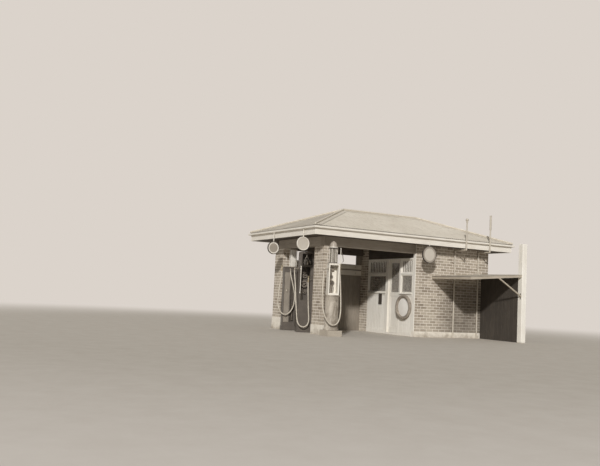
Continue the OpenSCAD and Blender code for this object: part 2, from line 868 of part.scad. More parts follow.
module rear_pump() {
    w = rear_pump_w;
    d = rear_pump_d;
    exit = down_from(rear_pump_h, first(rear_drops));
    handle_z = rear_pump_h - 700;
    color("dimgray") at_pump(rear_pump_at) {
        block(w + 30, d + 30, 0, plinth_h);
        difference() {
            block(w, d, plinth_h, rear_pump_h);
            box([20, -d / 2 - 1, plinth_h + 120], [w / 2 - 25, -d / 2 + 70, rear_pump_h - 130]);
        }
        box([-w / 2 + 25, -d / 2 - 8, plinth_h + 120], [-10, -d / 2, rear_pump_h - 130]);
        block(w + 2 * cap_over, d + 2 * cap_over, rear_pump_h, rear_pump_h + cap_slab);
        translate([-95, -d / 2, handle_z]) rotate([90, 0, 0]) cylinder(h = 34, r = 14);
        box([-103, -d / 2 - 44, handle_z - 60], [-87, -d / 2 - 30, handle_z + 60]);
        outlet(exit, -d / 2 - exit[1] + root, 90);
        holder(down_from(rear_pump_h, last(rear_drops)), -w / 2 + root);
    }
}

module rear_pump_measure() {
    color("lightblue") at_pump(rear_pump_at) translate([80, 0, 0])
        measure(rear_pump_h + cap_slab, beam_z - head_gap);
}

module middle_pump() {
    w = mid_pump_w;
    d = mid_pump_d;
    exit = down_from(mid_pump_h, first(middle_drops));
    end = down_from(mid_pump_h, last(middle_drops));
    stile = 50;
    wide_stile = 105;
    hook_x = w / 2 - wide_stile / 2;
    hook_z = end[2] + grip_h + 4;
    bar_x = w / 2 + 32;
    bar_y = -d / 2 + 60;
    color("dimgray") at_pump(mid_pump_at) {
        block(w + 20, d + 20, 0, plinth_h);
        difference() {
            block(w, d, plinth_h, mid_pump_h);
            box([-w / 2 + stile, -d / 2 - 1, works_z0], [w / 2 - wide_stile, d / 2 - 100, works_z1]);
            box([-w / 2 + stile, -d / 2 - 1, works_z1 + 60], [w / 2 - stile, d / 2 - 100, mid_pump_h - 50]);
        }
        outlet(exit, -w / 2 - exit[0] + root, 0);
        holder(end, hook_x + 12);
        box([hook_x - 12, end[1], hook_z], [hook_x + 12, -d / 2 + root, hook_z + holder_t]);
        translate([-w / 2 + stile / 2, -d / 2 - 22, works_z0 + 200]) cylinder(h = works_z1 - works_z0 - 200, r = 11);
        for (z = [works_z0 + 230, works_z1 - 60]) translate([-w / 2 + stile / 2, -d / 2 - 22, z])
            rotate([-90, 0, 0]) cylinder(h = 22 + root, r = 9);
        translate([-w / 2 + stile / 2, -d / 2 - 22, works_z1]) sphere(r = 22);
        for (z = [works_z1 - 250, mid_pump_h - 70]) {
            translate([w / 2 - root, bar_y, z]) rotate([0, 90, 0]) cylinder(h = bar_x - w / 2 + root, r = 12);
            translate([bar_x, bar_y, z]) sphere(r = 12);
        }
        translate([bar_x, bar_y, works_z1 - 250]) cylinder(h = mid_pump_h - 70 - works_z1 + 250, r = 12);
    }
}

module middle_pump_works() {
    y = mid_pump_d / 2 - 100;
    x = -mid_pump_w / 2 + 150;
    color("gray") at_pump(mid_pump_at) {
        translate([x - 38, y - 62, works_z0]) {
            cylinder(h = 330, r = 45);
            translate([0, 0, 330]) cylinder(h = 25, r = 58);
            translate([0, 0, 355]) cylinder(h = works_z1 - works_z0 - 355, r = 12);
        }
        gear(x + 60, y, works_z0 + 260, 55, 60, 10);
        gear(x + 30, y, works_z0 + 490, 88, 110, 12);
        gear(x + 45, y, works_z0 + 740, 66, 70, 12);
        box([x - 90, y - 110, works_z1 - 170], [x + 100, y, works_z1 - 145]);
    }
}

module front_pump_foot() {
    w = front_foot_w / 2;
    c = front_pump_at;
    color("silver") box([c[0] - w, c[1] - w, 0], [c[0] + w, c[1] + w, front_foot_h]);
}

module front_pump() {
    w = front_case_w;
    band = 26;
    stile = 25;
    back = 35;
    y = w / 2 - back;
    z0 = front_body_z + 50;
    z1 = front_case_z - 50;
    exit = down_from(front_case_z, first(front_drops));
    pipe_x = w / 2 + cap_over + 13;
    pipe_y = -40;
    color("lightgray") at_pump(front_pump_at) {
        translate([0, 0, front_foot_h]) {
            cylinder(h = front_body_z - front_foot_h, r = front_body_r);
            cylinder(h = 50, r = front_body_r + band);
            translate([0, 0, front_body_z - front_foot_h - 30]) cylinder(h = 30, r = front_body_r + band);
        }
        translate([0, 0, front_body_z - 140]) rotate([0, 90, -68]) cylinder(h = front_body_r + 30, r = 20);
        difference() {
            block(w, w, front_body_z, front_case_z);
            box([-w / 2 + stile, -w / 2 - 1, z0], [w / 2 - stile - 15, y, z1]);
        }
        translate([-55, 10, z0]) cylinder(h = 220, r = 38);
        translate([-55, 10, z0 + 220]) cylinder(h = z1 - z0 - 220, r = 10);
        gear(-10, y, z0 + 300, 58, 60, 12);
        gear(-35, y, z0 + 470, 46, 45, 10);
        box([-95, y - 95, z1 - 150], [25, y, z1 - 60]);
        block(w + 2 * cap_over, w + 2 * cap_over, front_case_z - 20, front_case_z);
        outlet(exit, -w / 2 - exit[0] + root, 0);
        holder(down_from(front_case_z, last(front_drops)), w / 2 - root);
        translate([pipe_x, pipe_y, front_case_z - 130]) cylinder(h = front_glass_top - front_case_z + 130, r = 10);
        for (z = [front_case_z - 130, front_glass_top]) translate([pipe_x, pipe_y, z]) sphere(r = 12);
        for (z = [front_case_z - 100, front_case_z - 16])
            box([w / 2 - root, pipe_y - 8, z], [pipe_x, pipe_y + 8, z + 12]);
    }
}

module front_pump_measure() {
    color("lightblue") at_pump(front_pump_at) translate([-front_measure_in, 0, 0])
        measure(front_case_z, front_glass_top);
}

module front_pump_dome() {
    lip = measure_r + 6;
    color("white") at_pump(front_pump_at) translate([-front_measure_in, 0, front_glass_top + 0.1]) rotate_extrude()
        polygon([[0, 0], [lip, 0], [lip, 22], [lip - 18, 34], [lip - 20, 80], [lip - 32, 122], [lip - 56, 156],
            [lip - 84, 182], [0, 195]]);
}

// Hoses and nozzles

// Smooth curve that starts at the first point and ends at the last one, drawn towards the others
function before(p, i) = i == 0 ? 2 * p[0] - p[1] : p[i - 1];
function after(p, i) = i + 2 > len(p) - 1 ? 2 * p[len(p) - 1] - p[len(p) - 2] : p[i + 2];
function along(p, i, t) = (before(p, i) * pow(1 - t, 3) + p[i] * (3 * t * t * t - 6 * t * t + 4)
    + p[i + 1] * (3 * t * t + 3 * t + 1 - 3 * t * t * t) + after(p, i) * t * t * t) / 6;
function spline(p, steps) = concat([for (i = [0 : len(p) - 2], s = [0 : steps - 1]) along(p, i, s / steps)],
    [p[len(p) - 1]]);
function unit(v) = v / norm(v);
function tangent(p, i) = i == 0 ? [0, 0, -1] : i == len(p) - 1 ? [0, 0, 1] : unit(p[i + 1] - p[i - 1]);

module hose(route) {
    sides = 8;
    line = spline(route, 2);
    rings = len(line);
    points = [for (i = [0 : rings - 1]) let (t = tangent(line, i), u = unit(cross(t, [0, 1, 0])), v = cross(t, u))
        for (k = [0 : sides - 1]) line[i] + hose_r * (cos(k * 360 / sides) * u + sin(k * 360 / sides) * v)];
    sides_faces = [for (i = [0 : rings - 2], k = [0 : sides - 1]) let (n = (k + 1) % sides)
        [i * sides + k, i * sides + n, (i + 1) * sides + n, (i + 1) * sides + k]];
    polyhedron(points, concat(sides_faces,
        [[for (k = [sides - 1 : -1 : 0]) k], [for (k = [0 : sides - 1]) (rings - 1) * sides + k]]));
}

// Nozzle that stands in its holder's ring, carried by the collar above the ring
module nozzle(at) {
    color("goldenrod") translate(at) {
        cylinder(h = grip_h, r = hose_r + 3);
        cylinder(h = neck_h, r = neck_r);
        translate([0, 0, grip_h + 4 + holder_t + seat_play]) cylinder(h = 12, r = neck_r + 7);
        translate([0, 0, neck_h - cup_h]) cylinder(h = cup_h, r1 = neck_r, r2 = cup_r);
    }
}

module rear_hose() {
    color("burlywood") hose(placed(rear_pump_at, rear_pump_h, rear_drops));
}

module middle_hose() {
    color("burlywood") hose(placed(mid_pump_at, mid_pump_h, middle_drops));
}

module front_hose() {
    color("burlywood") hose(placed(front_pump_at, front_case_z, front_drops));
}

module rear_nozzle() {
    nozzle(last(placed(rear_pump_at, rear_pump_h, rear_drops)));
}

module middle_nozzle() {
    nozzle(last(placed(mid_pump_at, mid_pump_h, middle_drops)));
}

module front_nozzle() {
    nozzle(last(placed(front_pump_at, front_case_z, front_drops)));
}

corner_pier();
corner_pier_foot();
side_pier();
side_pier_foot();
office_pier();
front_beam();
left_beam();
rear_beam();
rear_screen();
screen_rails();
front_wall();
wall_band();
right_wall();
rear_wall();
office_floor();
near_dado();
far_dado();
wall_head();
near_window();
far_window();
bay_glass();
door_frame();
door_hinge_pins();
door_leaf();
door_glass();
door_knobs();
soffit();
fascia();
gutter();
roof_front();
roof_rear();
roof_left();
roof_right();
roof_caps();
lean_to_frame();
lean_to_sheet();
lean_to_post();
lean_to_side();
left_vent_pipe();
right_vent_pipe();
rear_eave_sign();
corner_eave_sign();
front_eave_sign();
wall_ring();
notice_board();
rear_pump();
rear_pump_measure();
middle_pump();
middle_pump_works();
front_pump_foot();
front_pump();
front_pump_measure();
front_pump_dome();
rear_hose();
rear_nozzle();
middle_hose();
middle_nozzle();
front_hose();
front_nozzle();
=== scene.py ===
"""Looks of the filling station: camera, hoses, brickwork, roof, joinery, pumps, materials and light."""
import math
import random
from itertools import product

import bmesh
import bpy
from mathutils import Matrix, Vector


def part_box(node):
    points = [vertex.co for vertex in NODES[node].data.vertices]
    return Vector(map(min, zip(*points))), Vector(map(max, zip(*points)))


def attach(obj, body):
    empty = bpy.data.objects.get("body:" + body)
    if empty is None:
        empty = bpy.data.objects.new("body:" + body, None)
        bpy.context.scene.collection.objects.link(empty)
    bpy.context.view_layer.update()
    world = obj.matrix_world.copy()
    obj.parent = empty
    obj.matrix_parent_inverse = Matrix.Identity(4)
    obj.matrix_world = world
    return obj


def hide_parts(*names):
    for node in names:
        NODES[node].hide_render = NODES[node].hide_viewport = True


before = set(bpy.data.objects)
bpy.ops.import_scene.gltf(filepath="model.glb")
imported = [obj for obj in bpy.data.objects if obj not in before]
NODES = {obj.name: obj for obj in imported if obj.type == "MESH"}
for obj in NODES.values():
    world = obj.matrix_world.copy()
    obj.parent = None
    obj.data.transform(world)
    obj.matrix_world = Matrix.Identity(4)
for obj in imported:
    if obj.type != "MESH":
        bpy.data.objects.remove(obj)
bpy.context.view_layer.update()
BODY = "station"
UP = (0, 0, 1)
STREET = (0, -1, 0)

# Camera

IMAGE_W = 600
FOCAL_PX = 717.96
CAMERA_AT = Vector((-10.169, -17.871, 1.041))
CAMERA_YAW = math.radians(27.628)
CAMERA_TILT = math.radians(5.089)
CAMERA_ROLL = math.radians(2.861)
SENSOR = 36.0


def make_camera():
    level = Vector((math.cos(CAMERA_YAW), -math.sin(CAMERA_YAW), 0))
    flat = Vector((math.sin(CAMERA_YAW), math.cos(CAMERA_YAW), 0))
    forward = flat * math.cos(CAMERA_TILT) + Vector(UP) * math.sin(CAMERA_TILT)
    upright = level.cross(forward)
    right = level * math.cos(CAMERA_ROLL) + upright * math.sin(CAMERA_ROLL)
    up = upright * math.cos(CAMERA_ROLL) - level * math.sin(CAMERA_ROLL)
    data = bpy.data.cameras.new("camera")
    data.sensor_width = SENSOR
    data.lens = FOCAL_PX * SENSOR / IMAGE_W
    data.clip_start = 0.5
    data.clip_end = 400
    camera = bpy.data.objects.new("camera", data)
    turn = Matrix((right, up, -forward)).transposed().to_4x4()
    camera.matrix_world = Matrix.Translation(CAMERA_AT) @ turn
    bpy.context.scene.collection.objects.link(camera)
    bpy.context.scene.camera = camera


make_camera()

# Mesh making

CUBE = [(0, 1, 3, 2), (4, 6, 7, 5), (0, 4, 5, 1), (2, 3, 7, 6), (0, 2, 6, 4), (1, 5, 7, 3)]
MERGE = 0.00001
SHARP = math.radians(35)


def turns(count, start=0.0):
    """Angles round a circle, evenly spaced; start is a share of a step."""
    return [2 * math.pi * (k + start) / count for k in range(count)]


class Shape:
    """Vertices and faces of one piece, added part by part, in metres or in parts of one."""

    def __init__(self, place=None, per_metre=1):
        self.verts = []
        self.faces = []
        self.place = place
        self.per_metre = per_metre

    def add(self, verts, faces):
        base = len(self.verts)
        self.verts.extend(tuple(c / self.per_metre for c in v) for v in verts)
        self.faces.extend(tuple(base + i for i in f) for f in faces)

    def box(self, low, high, bevel=0.0):
        """A box with its edges cut back by bevel."""
        b = min(bevel, *[(high[i] - low[i]) * 0.45 for i in range(3)])
        if b <= 0:
            self.add(product(*zip(low, high)), CUBE)
            return
        corners = list(product((0, 1), repeat=3))
        verts, faces, index = [], [], {}
        for side in corners:
            for axis in range(3):
                p = [high[i] - b if side[i] else low[i] + b for i in range(3)]
                p[axis] = high[axis] if side[axis] else low[axis]
                index[side + (axis,)] = len(verts)
                verts.append(p)

        def corner(axis, s, a, c, face):
            side = [a, c]
            side.insert(axis, s)
            return index[(*side, face)]

        for axis, s in product(range(3), (0, 1)):
            ring = [corner(axis, s, a, c, axis) for a, c in ((0, 0), (1, 0), (1, 1), (0, 1))]
            faces.append(ring if (s == 1) == (axis != 1) else ring[::-1])
        for axis, a, c in product(range(3), (0, 1), (0, 1)):
            i, j = [k for k in range(3) if k != axis]
            quad = [corner(axis, s, a, c, face) for s, face in ((0, i), (1, i), (1, j), (0, j))]
            faces.append(quad[::-1] if (a == c) == (axis != 1) else quad)
        for side in corners:
            tri = [index[side + (k,)] for k in range(3)]
            faces.append(tri if sum(side) % 2 else tri[::-1])
        self.add(verts, faces)

    def skin(self, verts, count, closed):
        """Joins rings of count points into a tube; closed caps its two ends."""
        rows = len(verts) // count
        faces = []
        for i in range(rows - 1):
            for k in range(count):
                n = (k + 1) % count
                faces.append((i * count + k, i * count + n, (i + 1) * count + n, (i + 1) * count + k))
        if closed:
            faces.append(tuple(range(count))[::-1])
            faces.append(tuple((rows - 1) * count + k for k in range(count)))
        self.add(verts, faces)

    def lathe(self, profile, centre, axis=UP, steps=32, closed=True):
        """Turns (radius, height) points about an axis through centre."""
        a = Vector(axis).normalized()
        u = a.orthogonal().normalized()
        v = a.cross(u)
        c = Vector(centre)
        self.skin([c + a * height + (u * math.cos(t) + v * math.sin(t)) * radius
                   for radius, height in profile for t in turns(steps)], steps, closed)

    def hoop(self, profile, centre, axis=UP, steps=32):
        """A turned ring whose profile closes on its first point."""
        self.lathe(profile + profile[:1], centre, axis, steps, closed=False)

    def tube(self, path, radius, sides=12):
        """A round tube along a list of points; radius is a number or one number a point."""
        points = [Vector(p) for p in path]
        radii = radius if isinstance(radius, (list, tuple)) else [radius] * len(points)
        verts = []
        normal = None
        for i, p in enumerate(points):
            ahead = points[min(i + 1, len(points) - 1)] - points[max(i - 1, 0)]
            ahead.normalize()
            if normal is None:
                normal = ahead.orthogonal().normalized()
            normal = (normal - ahead * normal.dot(ahead)).normalized()
            side = ahead.cross(normal)
            verts += [p + (normal * math.cos(t) + side * math.sin(t)) * radii[i] for t in turns(sides)]
        self.skin(verts, sides, True)

    def rod(self, start, end, radius, sides=14):
        self.tube([start, end], radius, sides)

    def make(self, name, look, slot, smooth=False, stands_for=None, body=BODY):
        """The finished object, riding on its body."""
        verts = [self.place @ Vector(v) for v in self.verts] if self.place else self.verts
        mesh = bpy.data.meshes.new(name)
        mesh.from_pydata([tuple(v) for v in verts], [], self.faces)
        mesh.validate()
        solid = bmesh.new()
        solid.from_mesh(mesh)
        bmesh.ops.remove_doubles(solid, verts=solid.verts, dist=MERGE)
        bmesh.ops.recalc_face_normals(solid, faces=solid.faces)
        solid.to_mesh(mesh)
        solid.free()
        if smooth:
            mesh.shade_smooth()
            mesh.set_sharp_from_angle(angle=SHARP)
        piece = bpy.data.objects.new(name, mesh)
        bpy.context.scene.collection.objects.link(piece)
        piece.data.materials.append(M[look])
        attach(piece, body)
        if stands_for:
            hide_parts(stands_for)
        return piece


# Materials


def linear(rgb):
    """A colour given as 0-255 values, in linear light."""
    shares = [v / 255 for v in rgb]
    return (*[v / 12.92 if v <= 0.04045 else ((v + 0.055) / 1.055) ** 2.4 for v in shares], 1.0)


class Tree:
    """The nodes of a material or of the world."""

    def __init__(self, owner):
        owner.use_nodes = True
        self.nodes = owner.node_tree.nodes
        self.links = owner.node_tree.links

    def feed(self, value, socket):
        """Sets an input to a number, an output, or a colour of 0-255 values."""
        if isinstance(value, bpy.types.NodeSocket):
            self.links.new(value, socket)
        elif socket.type == "RGBA" and len(value) == 3:
            socket.default_value = linear(value)
        else:
            socket.default_value = value

    def node(self, kind, inputs, **options):
        n = self.nodes.new("ShaderNode" + kind)
        for key, value in options.items():
            setattr(n, key, value)
        for key, value in inputs.items():
            self.feed(value, n.inputs[key])
        return n

    def calc(self, a, b, kind="ADD"):
        return self.node("Math", {0: a, 1: b}, operation=kind).outputs[0]

    def times(self, a, b):
        return self.calc(a, b, "MULTIPLY")

    def less(self, value):
        return self.calc(1.0, value, "SUBTRACT")

    def mix(self, factor, a, b, kind="MIX"):
        """Mixes colours; a and b are colours or outputs, factor a number or output."""
        return self.node("Mix", {0: factor, 6: a, 7: b}, data_type="RGBA", blend_type=kind).outputs[2]

    def ramp(self, factor, start, low, end, high):
        """A grey ramp, from low at start to high at end."""
        n = self.node("ValToRGB", {"Fac": factor})
        for item, at, value in zip(n.color_ramp.elements, (start, end), (low, high)):
            item.position = at
            item.color = (value, value, value, 1)
        return n.outputs["Color"]


# Painted shade: the wall between the lean-to's edge and its post, below its sheet, is darkened to stand for
# the lean-to's shadow

LEAN_TO_SHADE_TINT = (0.42, 0.41, 0.40, 1)
SHADE_X = (4.05, 4.75)
SHADE_TOP = 1.9
SHADE_FULL = 1.55
POST_X = (5.88, 5.98)
FACE_Y = (0.06, 0.11)


class Paint(Tree):
    """A node material that is built up step by step."""

    def __init__(self, name):
        self.material = bpy.data.materials.new(name)
        super().__init__(self.material)
        self.shader = self.nodes["Principled BSDF"]
        self.coords = self.node("TexCoord", {}).outputs["Object"]

    def mapped(self, stretch):
        return self.node("Mapping", {"Vector": self.coords, "Scale": stretch}).outputs["Vector"]

    def noise(self, scale, detail=4.0, rough=0.55, stretch=(1, 1, 1), distort=0.0):
        return self.node("TexNoise", {"Vector": self.mapped(stretch), "Scale": scale, "Detail": detail,
                                      "Roughness": rough, "Distortion": distort}).outputs["Fac"]

    def cells(self, scale, stretch=(1, 1, 1)):
        return self.node("TexVoronoi", {"Vector": self.mapped(stretch), "Scale": scale}).outputs["Distance"]

    def along(self, axis, zero, one):
        """Rises from 0 to 1 between two places on an axis; zero is the lower place."""
        place = self.node("SeparateXYZ", {0: self.coords}).outputs[axis]
        return self.node("MapRange", {"From Min": zero, "From Max": one, "Value": place}).outputs["Result"]

    def low(self, top, foot=0.0):
        """1 at the foot, 0 at the top, by height above the ground."""
        return self.less(self.along("Z", foot, top))

    def painted_lean_to_shade(self, unshaded):
        """Painted shade: the wall under the lean-to, darkened in colour to stand for its shadow."""
        cloud = self.ramp(self.noise(3.1, 5, 0.6), 0.2, 0.65, 0.7, 1.0)
        side = self.times(self.along("X", *SHADE_X), self.low(SHADE_TOP, SHADE_FULL))
        past_post = self.calc(self.along("X", *POST_X), self.along("Y", *FACE_Y), "MAXIMUM")
        darkened = self.mix(1.0, unshaded, LEAN_TO_SHADE_TINT, "MULTIPLY")
        return self.mix(self.times(self.times(side, self.less(past_post)), cloud), unshaded, darkened)

    def each(self):
        """A random value for each separate board or brick."""
        return self.node("NewGeometry", {}).outputs["Random Per Island"]

    def done(self, colour, rough, bumps=(), metal=0.0):
        """The finished material; bumps are (height, distance)."""
        self.feed(colour, self.shader.inputs["Base Color"])
        self.feed(rough, self.shader.inputs["Roughness"])
        self.feed(metal, self.shader.inputs["Metallic"])
        normal = {}
        for height, distance in bumps:
            n = self.node("Bump", {"Height": height, "Distance": distance, "Strength": 1.0, **normal})
            normal = {"Normal": n.outputs["Normal"]}
        for key, value in normal.items():
            self.feed(value, self.shader.inputs[key])
        return self.material


def brick_paint():
    p = Paint("brickwork")
    grain = p.noise(38, 6, 0.7)
    light = p.mix(p.each(), (142, 129, 114), (190, 178, 162))
    speckled = p.mix(p.ramp(grain, 0.35, 0.0, 0.75, 1.0), light, (120, 104, 90), "MULTIPLY")
    cloud = p.ramp(p.noise(2.2, 3), 0.35, 0.0, 0.7, 0.35)
    weathered = p.mix(cloud, p.mix(0.35, light, speckled), (200, 190, 172))
    splashed = p.mix(p.times(p.low(0.7), 0.3), weathered, (212, 204, 189))
    # The wall's colour gets the painted shade under the lean-to
    return p.done(p.painted_lean_to_shade(splashed), p.ramp(grain, 0.2, 0.8, 0.8, 0.98), [(grain, 0.0015)])


def mortar_paint():
    p = Paint("mortar")
    sand = p.noise(160, 4, 0.8)
    base = p.mix(p.noise(4, 3), (222, 214, 201), (240, 233, 221))
    sandy = p.mix(p.ramp(sand, 0.45, 0.0, 0.8, 0.3), base, (190, 181, 166))
    # The mortar gets the same painted shade under the lean-to
    return p.done(p.painted_lean_to_shade(sandy), 0.95, [(sand, 0.001)])


def render_paint():
    p = Paint("limewash")
    trowel = p.noise(9, 5, 0.6, (1, 1, 2.4))
    pores = p.noise(120, 3, 0.7)
    stain = p.noise(5, 5, 0.65)
    base = p.mix(trowel, (238, 232, 220), (222, 214, 200))
    grubby = p.mix(p.ramp(stain, 0.45, 0.0, 0.75, 0.6), base, (168, 156, 138))
    splash = p.times(p.low(0.16), p.ramp(stain, 0.3, 0.2, 0.7, 0.9))
    rough = p.ramp(pores, 0.2, 0.75, 0.8, 0.95)
    return p.done(p.mix(splash, grubby, (150, 138, 120)), rough, [(trowel, 0.006), (pores, 0.0012)])


def concrete_paint():
    p = Paint("concrete")
    sand = p.noise(90, 5, 0.75)
    base = p.mix(p.noise(3.5, 5, 0.6), (170, 160, 145), (198, 189, 174))
    return p.done(p.mix(p.ramp(sand, 0.42, 0.0, 0.7, 0.7), base, (135, 125, 112)), 0.9, [(sand, 0.002)])


def timber_paint(name, light, dark, grain_axis, worn=None, wear=0.4, rough=0.7):
    """Painted or bare boards, with grain along one axis and a tone of its own for each board."""
    p = Paint(name)
    stretch = tuple(0.06 if axis == grain_axis else 1.0 for axis in "XYZ")
    grain = p.noise(46, 6, 0.65, stretch, 0.6)
    cloud = p.noise(1.7, 4, 0.6)
    tone = p.mix(p.each(), light, tuple((a * 3 + b) / 4 for a, b in zip(light, dark)))
    grained = p.mix(p.ramp(grain, 0.4, 0.0, 0.68, 0.55), tone, dark)
    aged = p.mix(p.ramp(cloud, 0.42, 0.0, 0.72, 0.4), grained, dark)
    if worn:
        aged = p.mix(p.ramp(p.noise(19, 7, 0.75, stretch), 0.62, 0.0, 0.66, wear), aged, worn)
    return p.done(aged, p.ramp(grain, 0.2, rough, 0.8, min(rough + 0.2, 1.0)), [(grain, 0.0012)])


def iron_paint(name, light, dark, rust, amount, run_axis):
    """Galvanised iron gone dull, with streaks that run down the sheets."""
    p = Paint(name)
    streak = p.noise(5, 6, 0.7, tuple(0.25 if axis == run_axis else 3.0 for axis in "XYZ"), 0.3)
    sheets = p.mix(p.each(), light, tuple((a + b) / 2 for a, b in zip(light, dark)))
    base = p.mix(p.ramp(p.noise(1.1, 4, 0.6), 0.3, 0.0, 0.7, 0.8), sheets, dark)
    spangle = p.mix(p.times(p.cells(55), 0.3), base, light)
    rusty = p.mix(p.ramp(streak, 0.5, 0.0, 0.75, amount), spangle, rust)
    return p.done(rusty, p.ramp(streak, 0.3, 0.5, 0.7, 0.8), [(streak, 0.0008)], 0.15)


def enamel_paint(name, light, dark, chip, chips=0.5, rough=0.35):
    """Painted metal with faint runs of dust and small chips."""
    p = Paint(name)
    dust = p.noise(24, 6, 0.7, (1, 1, 0.35))
    spots = p.noise(70, 3, 0.8)
    base = p.mix(p.noise(3.2, 4, 0.55), light, dark)
    dusty = p.mix(p.ramp(dust, 0.45, 0.0, 0.8, 0.45), base, dark)
    chipped = p.mix(p.ramp(spots, 0.69, 0.0, 0.72, chips), dusty, chip)
    return p.done(chipped, p.ramp(dust, 0.3, rough, 0.8, min(rough + 0.35, 1.0)), [(spots, 0.0006)])


def mottled_paint(name, light, dark, bare):
    """Old enamel gone patchy: faded fields, runs of grime and bare worn spots."""
    p = Paint(name)
    field = p.noise(4.5, 6, 0.62, (1, 1, 0.55), 0.8)
    runs = p.noise(22, 6, 0.7, (1, 1, 0.14))
    spots = p.noise(34, 7, 0.78)
    base = p.mix(p.ramp(field, 0.36, 0.0, 0.62, 1.0), light, dark)
    grimy = p.mix(p.ramp(runs, 0.48, 0.0, 0.74, 0.6), base, dark)
    worn = p.mix(p.ramp(spots, 0.60, 0.0, 0.66, 0.75), grimy, bare)
    return p.done(worn, p.ramp(field, 0.3, 0.38, 0.7, 0.72), [(spots, 0.0006)])


def metal_paint(name, light, dark, rough=0.45, metal=0.7):
    p = Paint(name)
    smear = p.noise(14, 6, 0.7)
    pits = p.noise(140, 3, 0.7)
    pitted = p.mix(p.ramp(pits, 0.55, 0.0, 0.75, 0.7), p.mix(smear, light, dark), dark)
    return p.done(pitted, p.ramp(smear, 0.3, rough, 0.7, min(rough + 0.3, 1.0)), [(pits, 0.0006)], metal)


def hose_paint():
    p = Paint("hose_canvas")
    weave = p.cells(260, (1, 1, 0.8))
    base = p.mix(p.ramp(p.noise(7, 5, 0.65), 0.35, 0.0, 0.7, 0.8), (224, 216, 201), (184, 174, 158))
    return p.done(p.mix(p.times(weave, 0.5), base, (146, 136, 122)), 0.85, [(weave, 0.001)])


def rubber_paint():
    p = Paint("rubber")
    dust = p.noise(13, 6, 0.7)
    dusty = p.mix(p.ramp(dust, 0.3, 0.0, 0.75, 1.0), (120, 110, 99), (176, 165, 150))
    return p.done(dusty, p.ramp(dust, 0.3, 0.7, 0.7, 0.92), [(p.noise(150, 3, 0.7), 0.001)])


def glass_paint(name, tint, dust_and_reflection, clear):
    """Thin glass with a pale film that is partly dust and partly painted reflection."""
    p = Paint(name)
    dust = p.noise(6, 6, 0.7)
    streak = p.noise(30, 4, 0.7, (1, 1, 0.2))
    streaked = p.mix(p.ramp(streak, 0.4, 0.0, 0.8, 0.6), tint, (190, 182, 170))
    film = p.times(p.ramp(dust, 0.4, 0.0, 0.85, 1.0), dust_and_reflection)
    p.feed(p.calc(film, 1 - clear), p.shader.inputs["Alpha"])
    p.material.surface_render_method = "BLENDED"
    return p.done(streaked, p.ramp(dust, 0.3, 0.05, 0.8, 0.3))


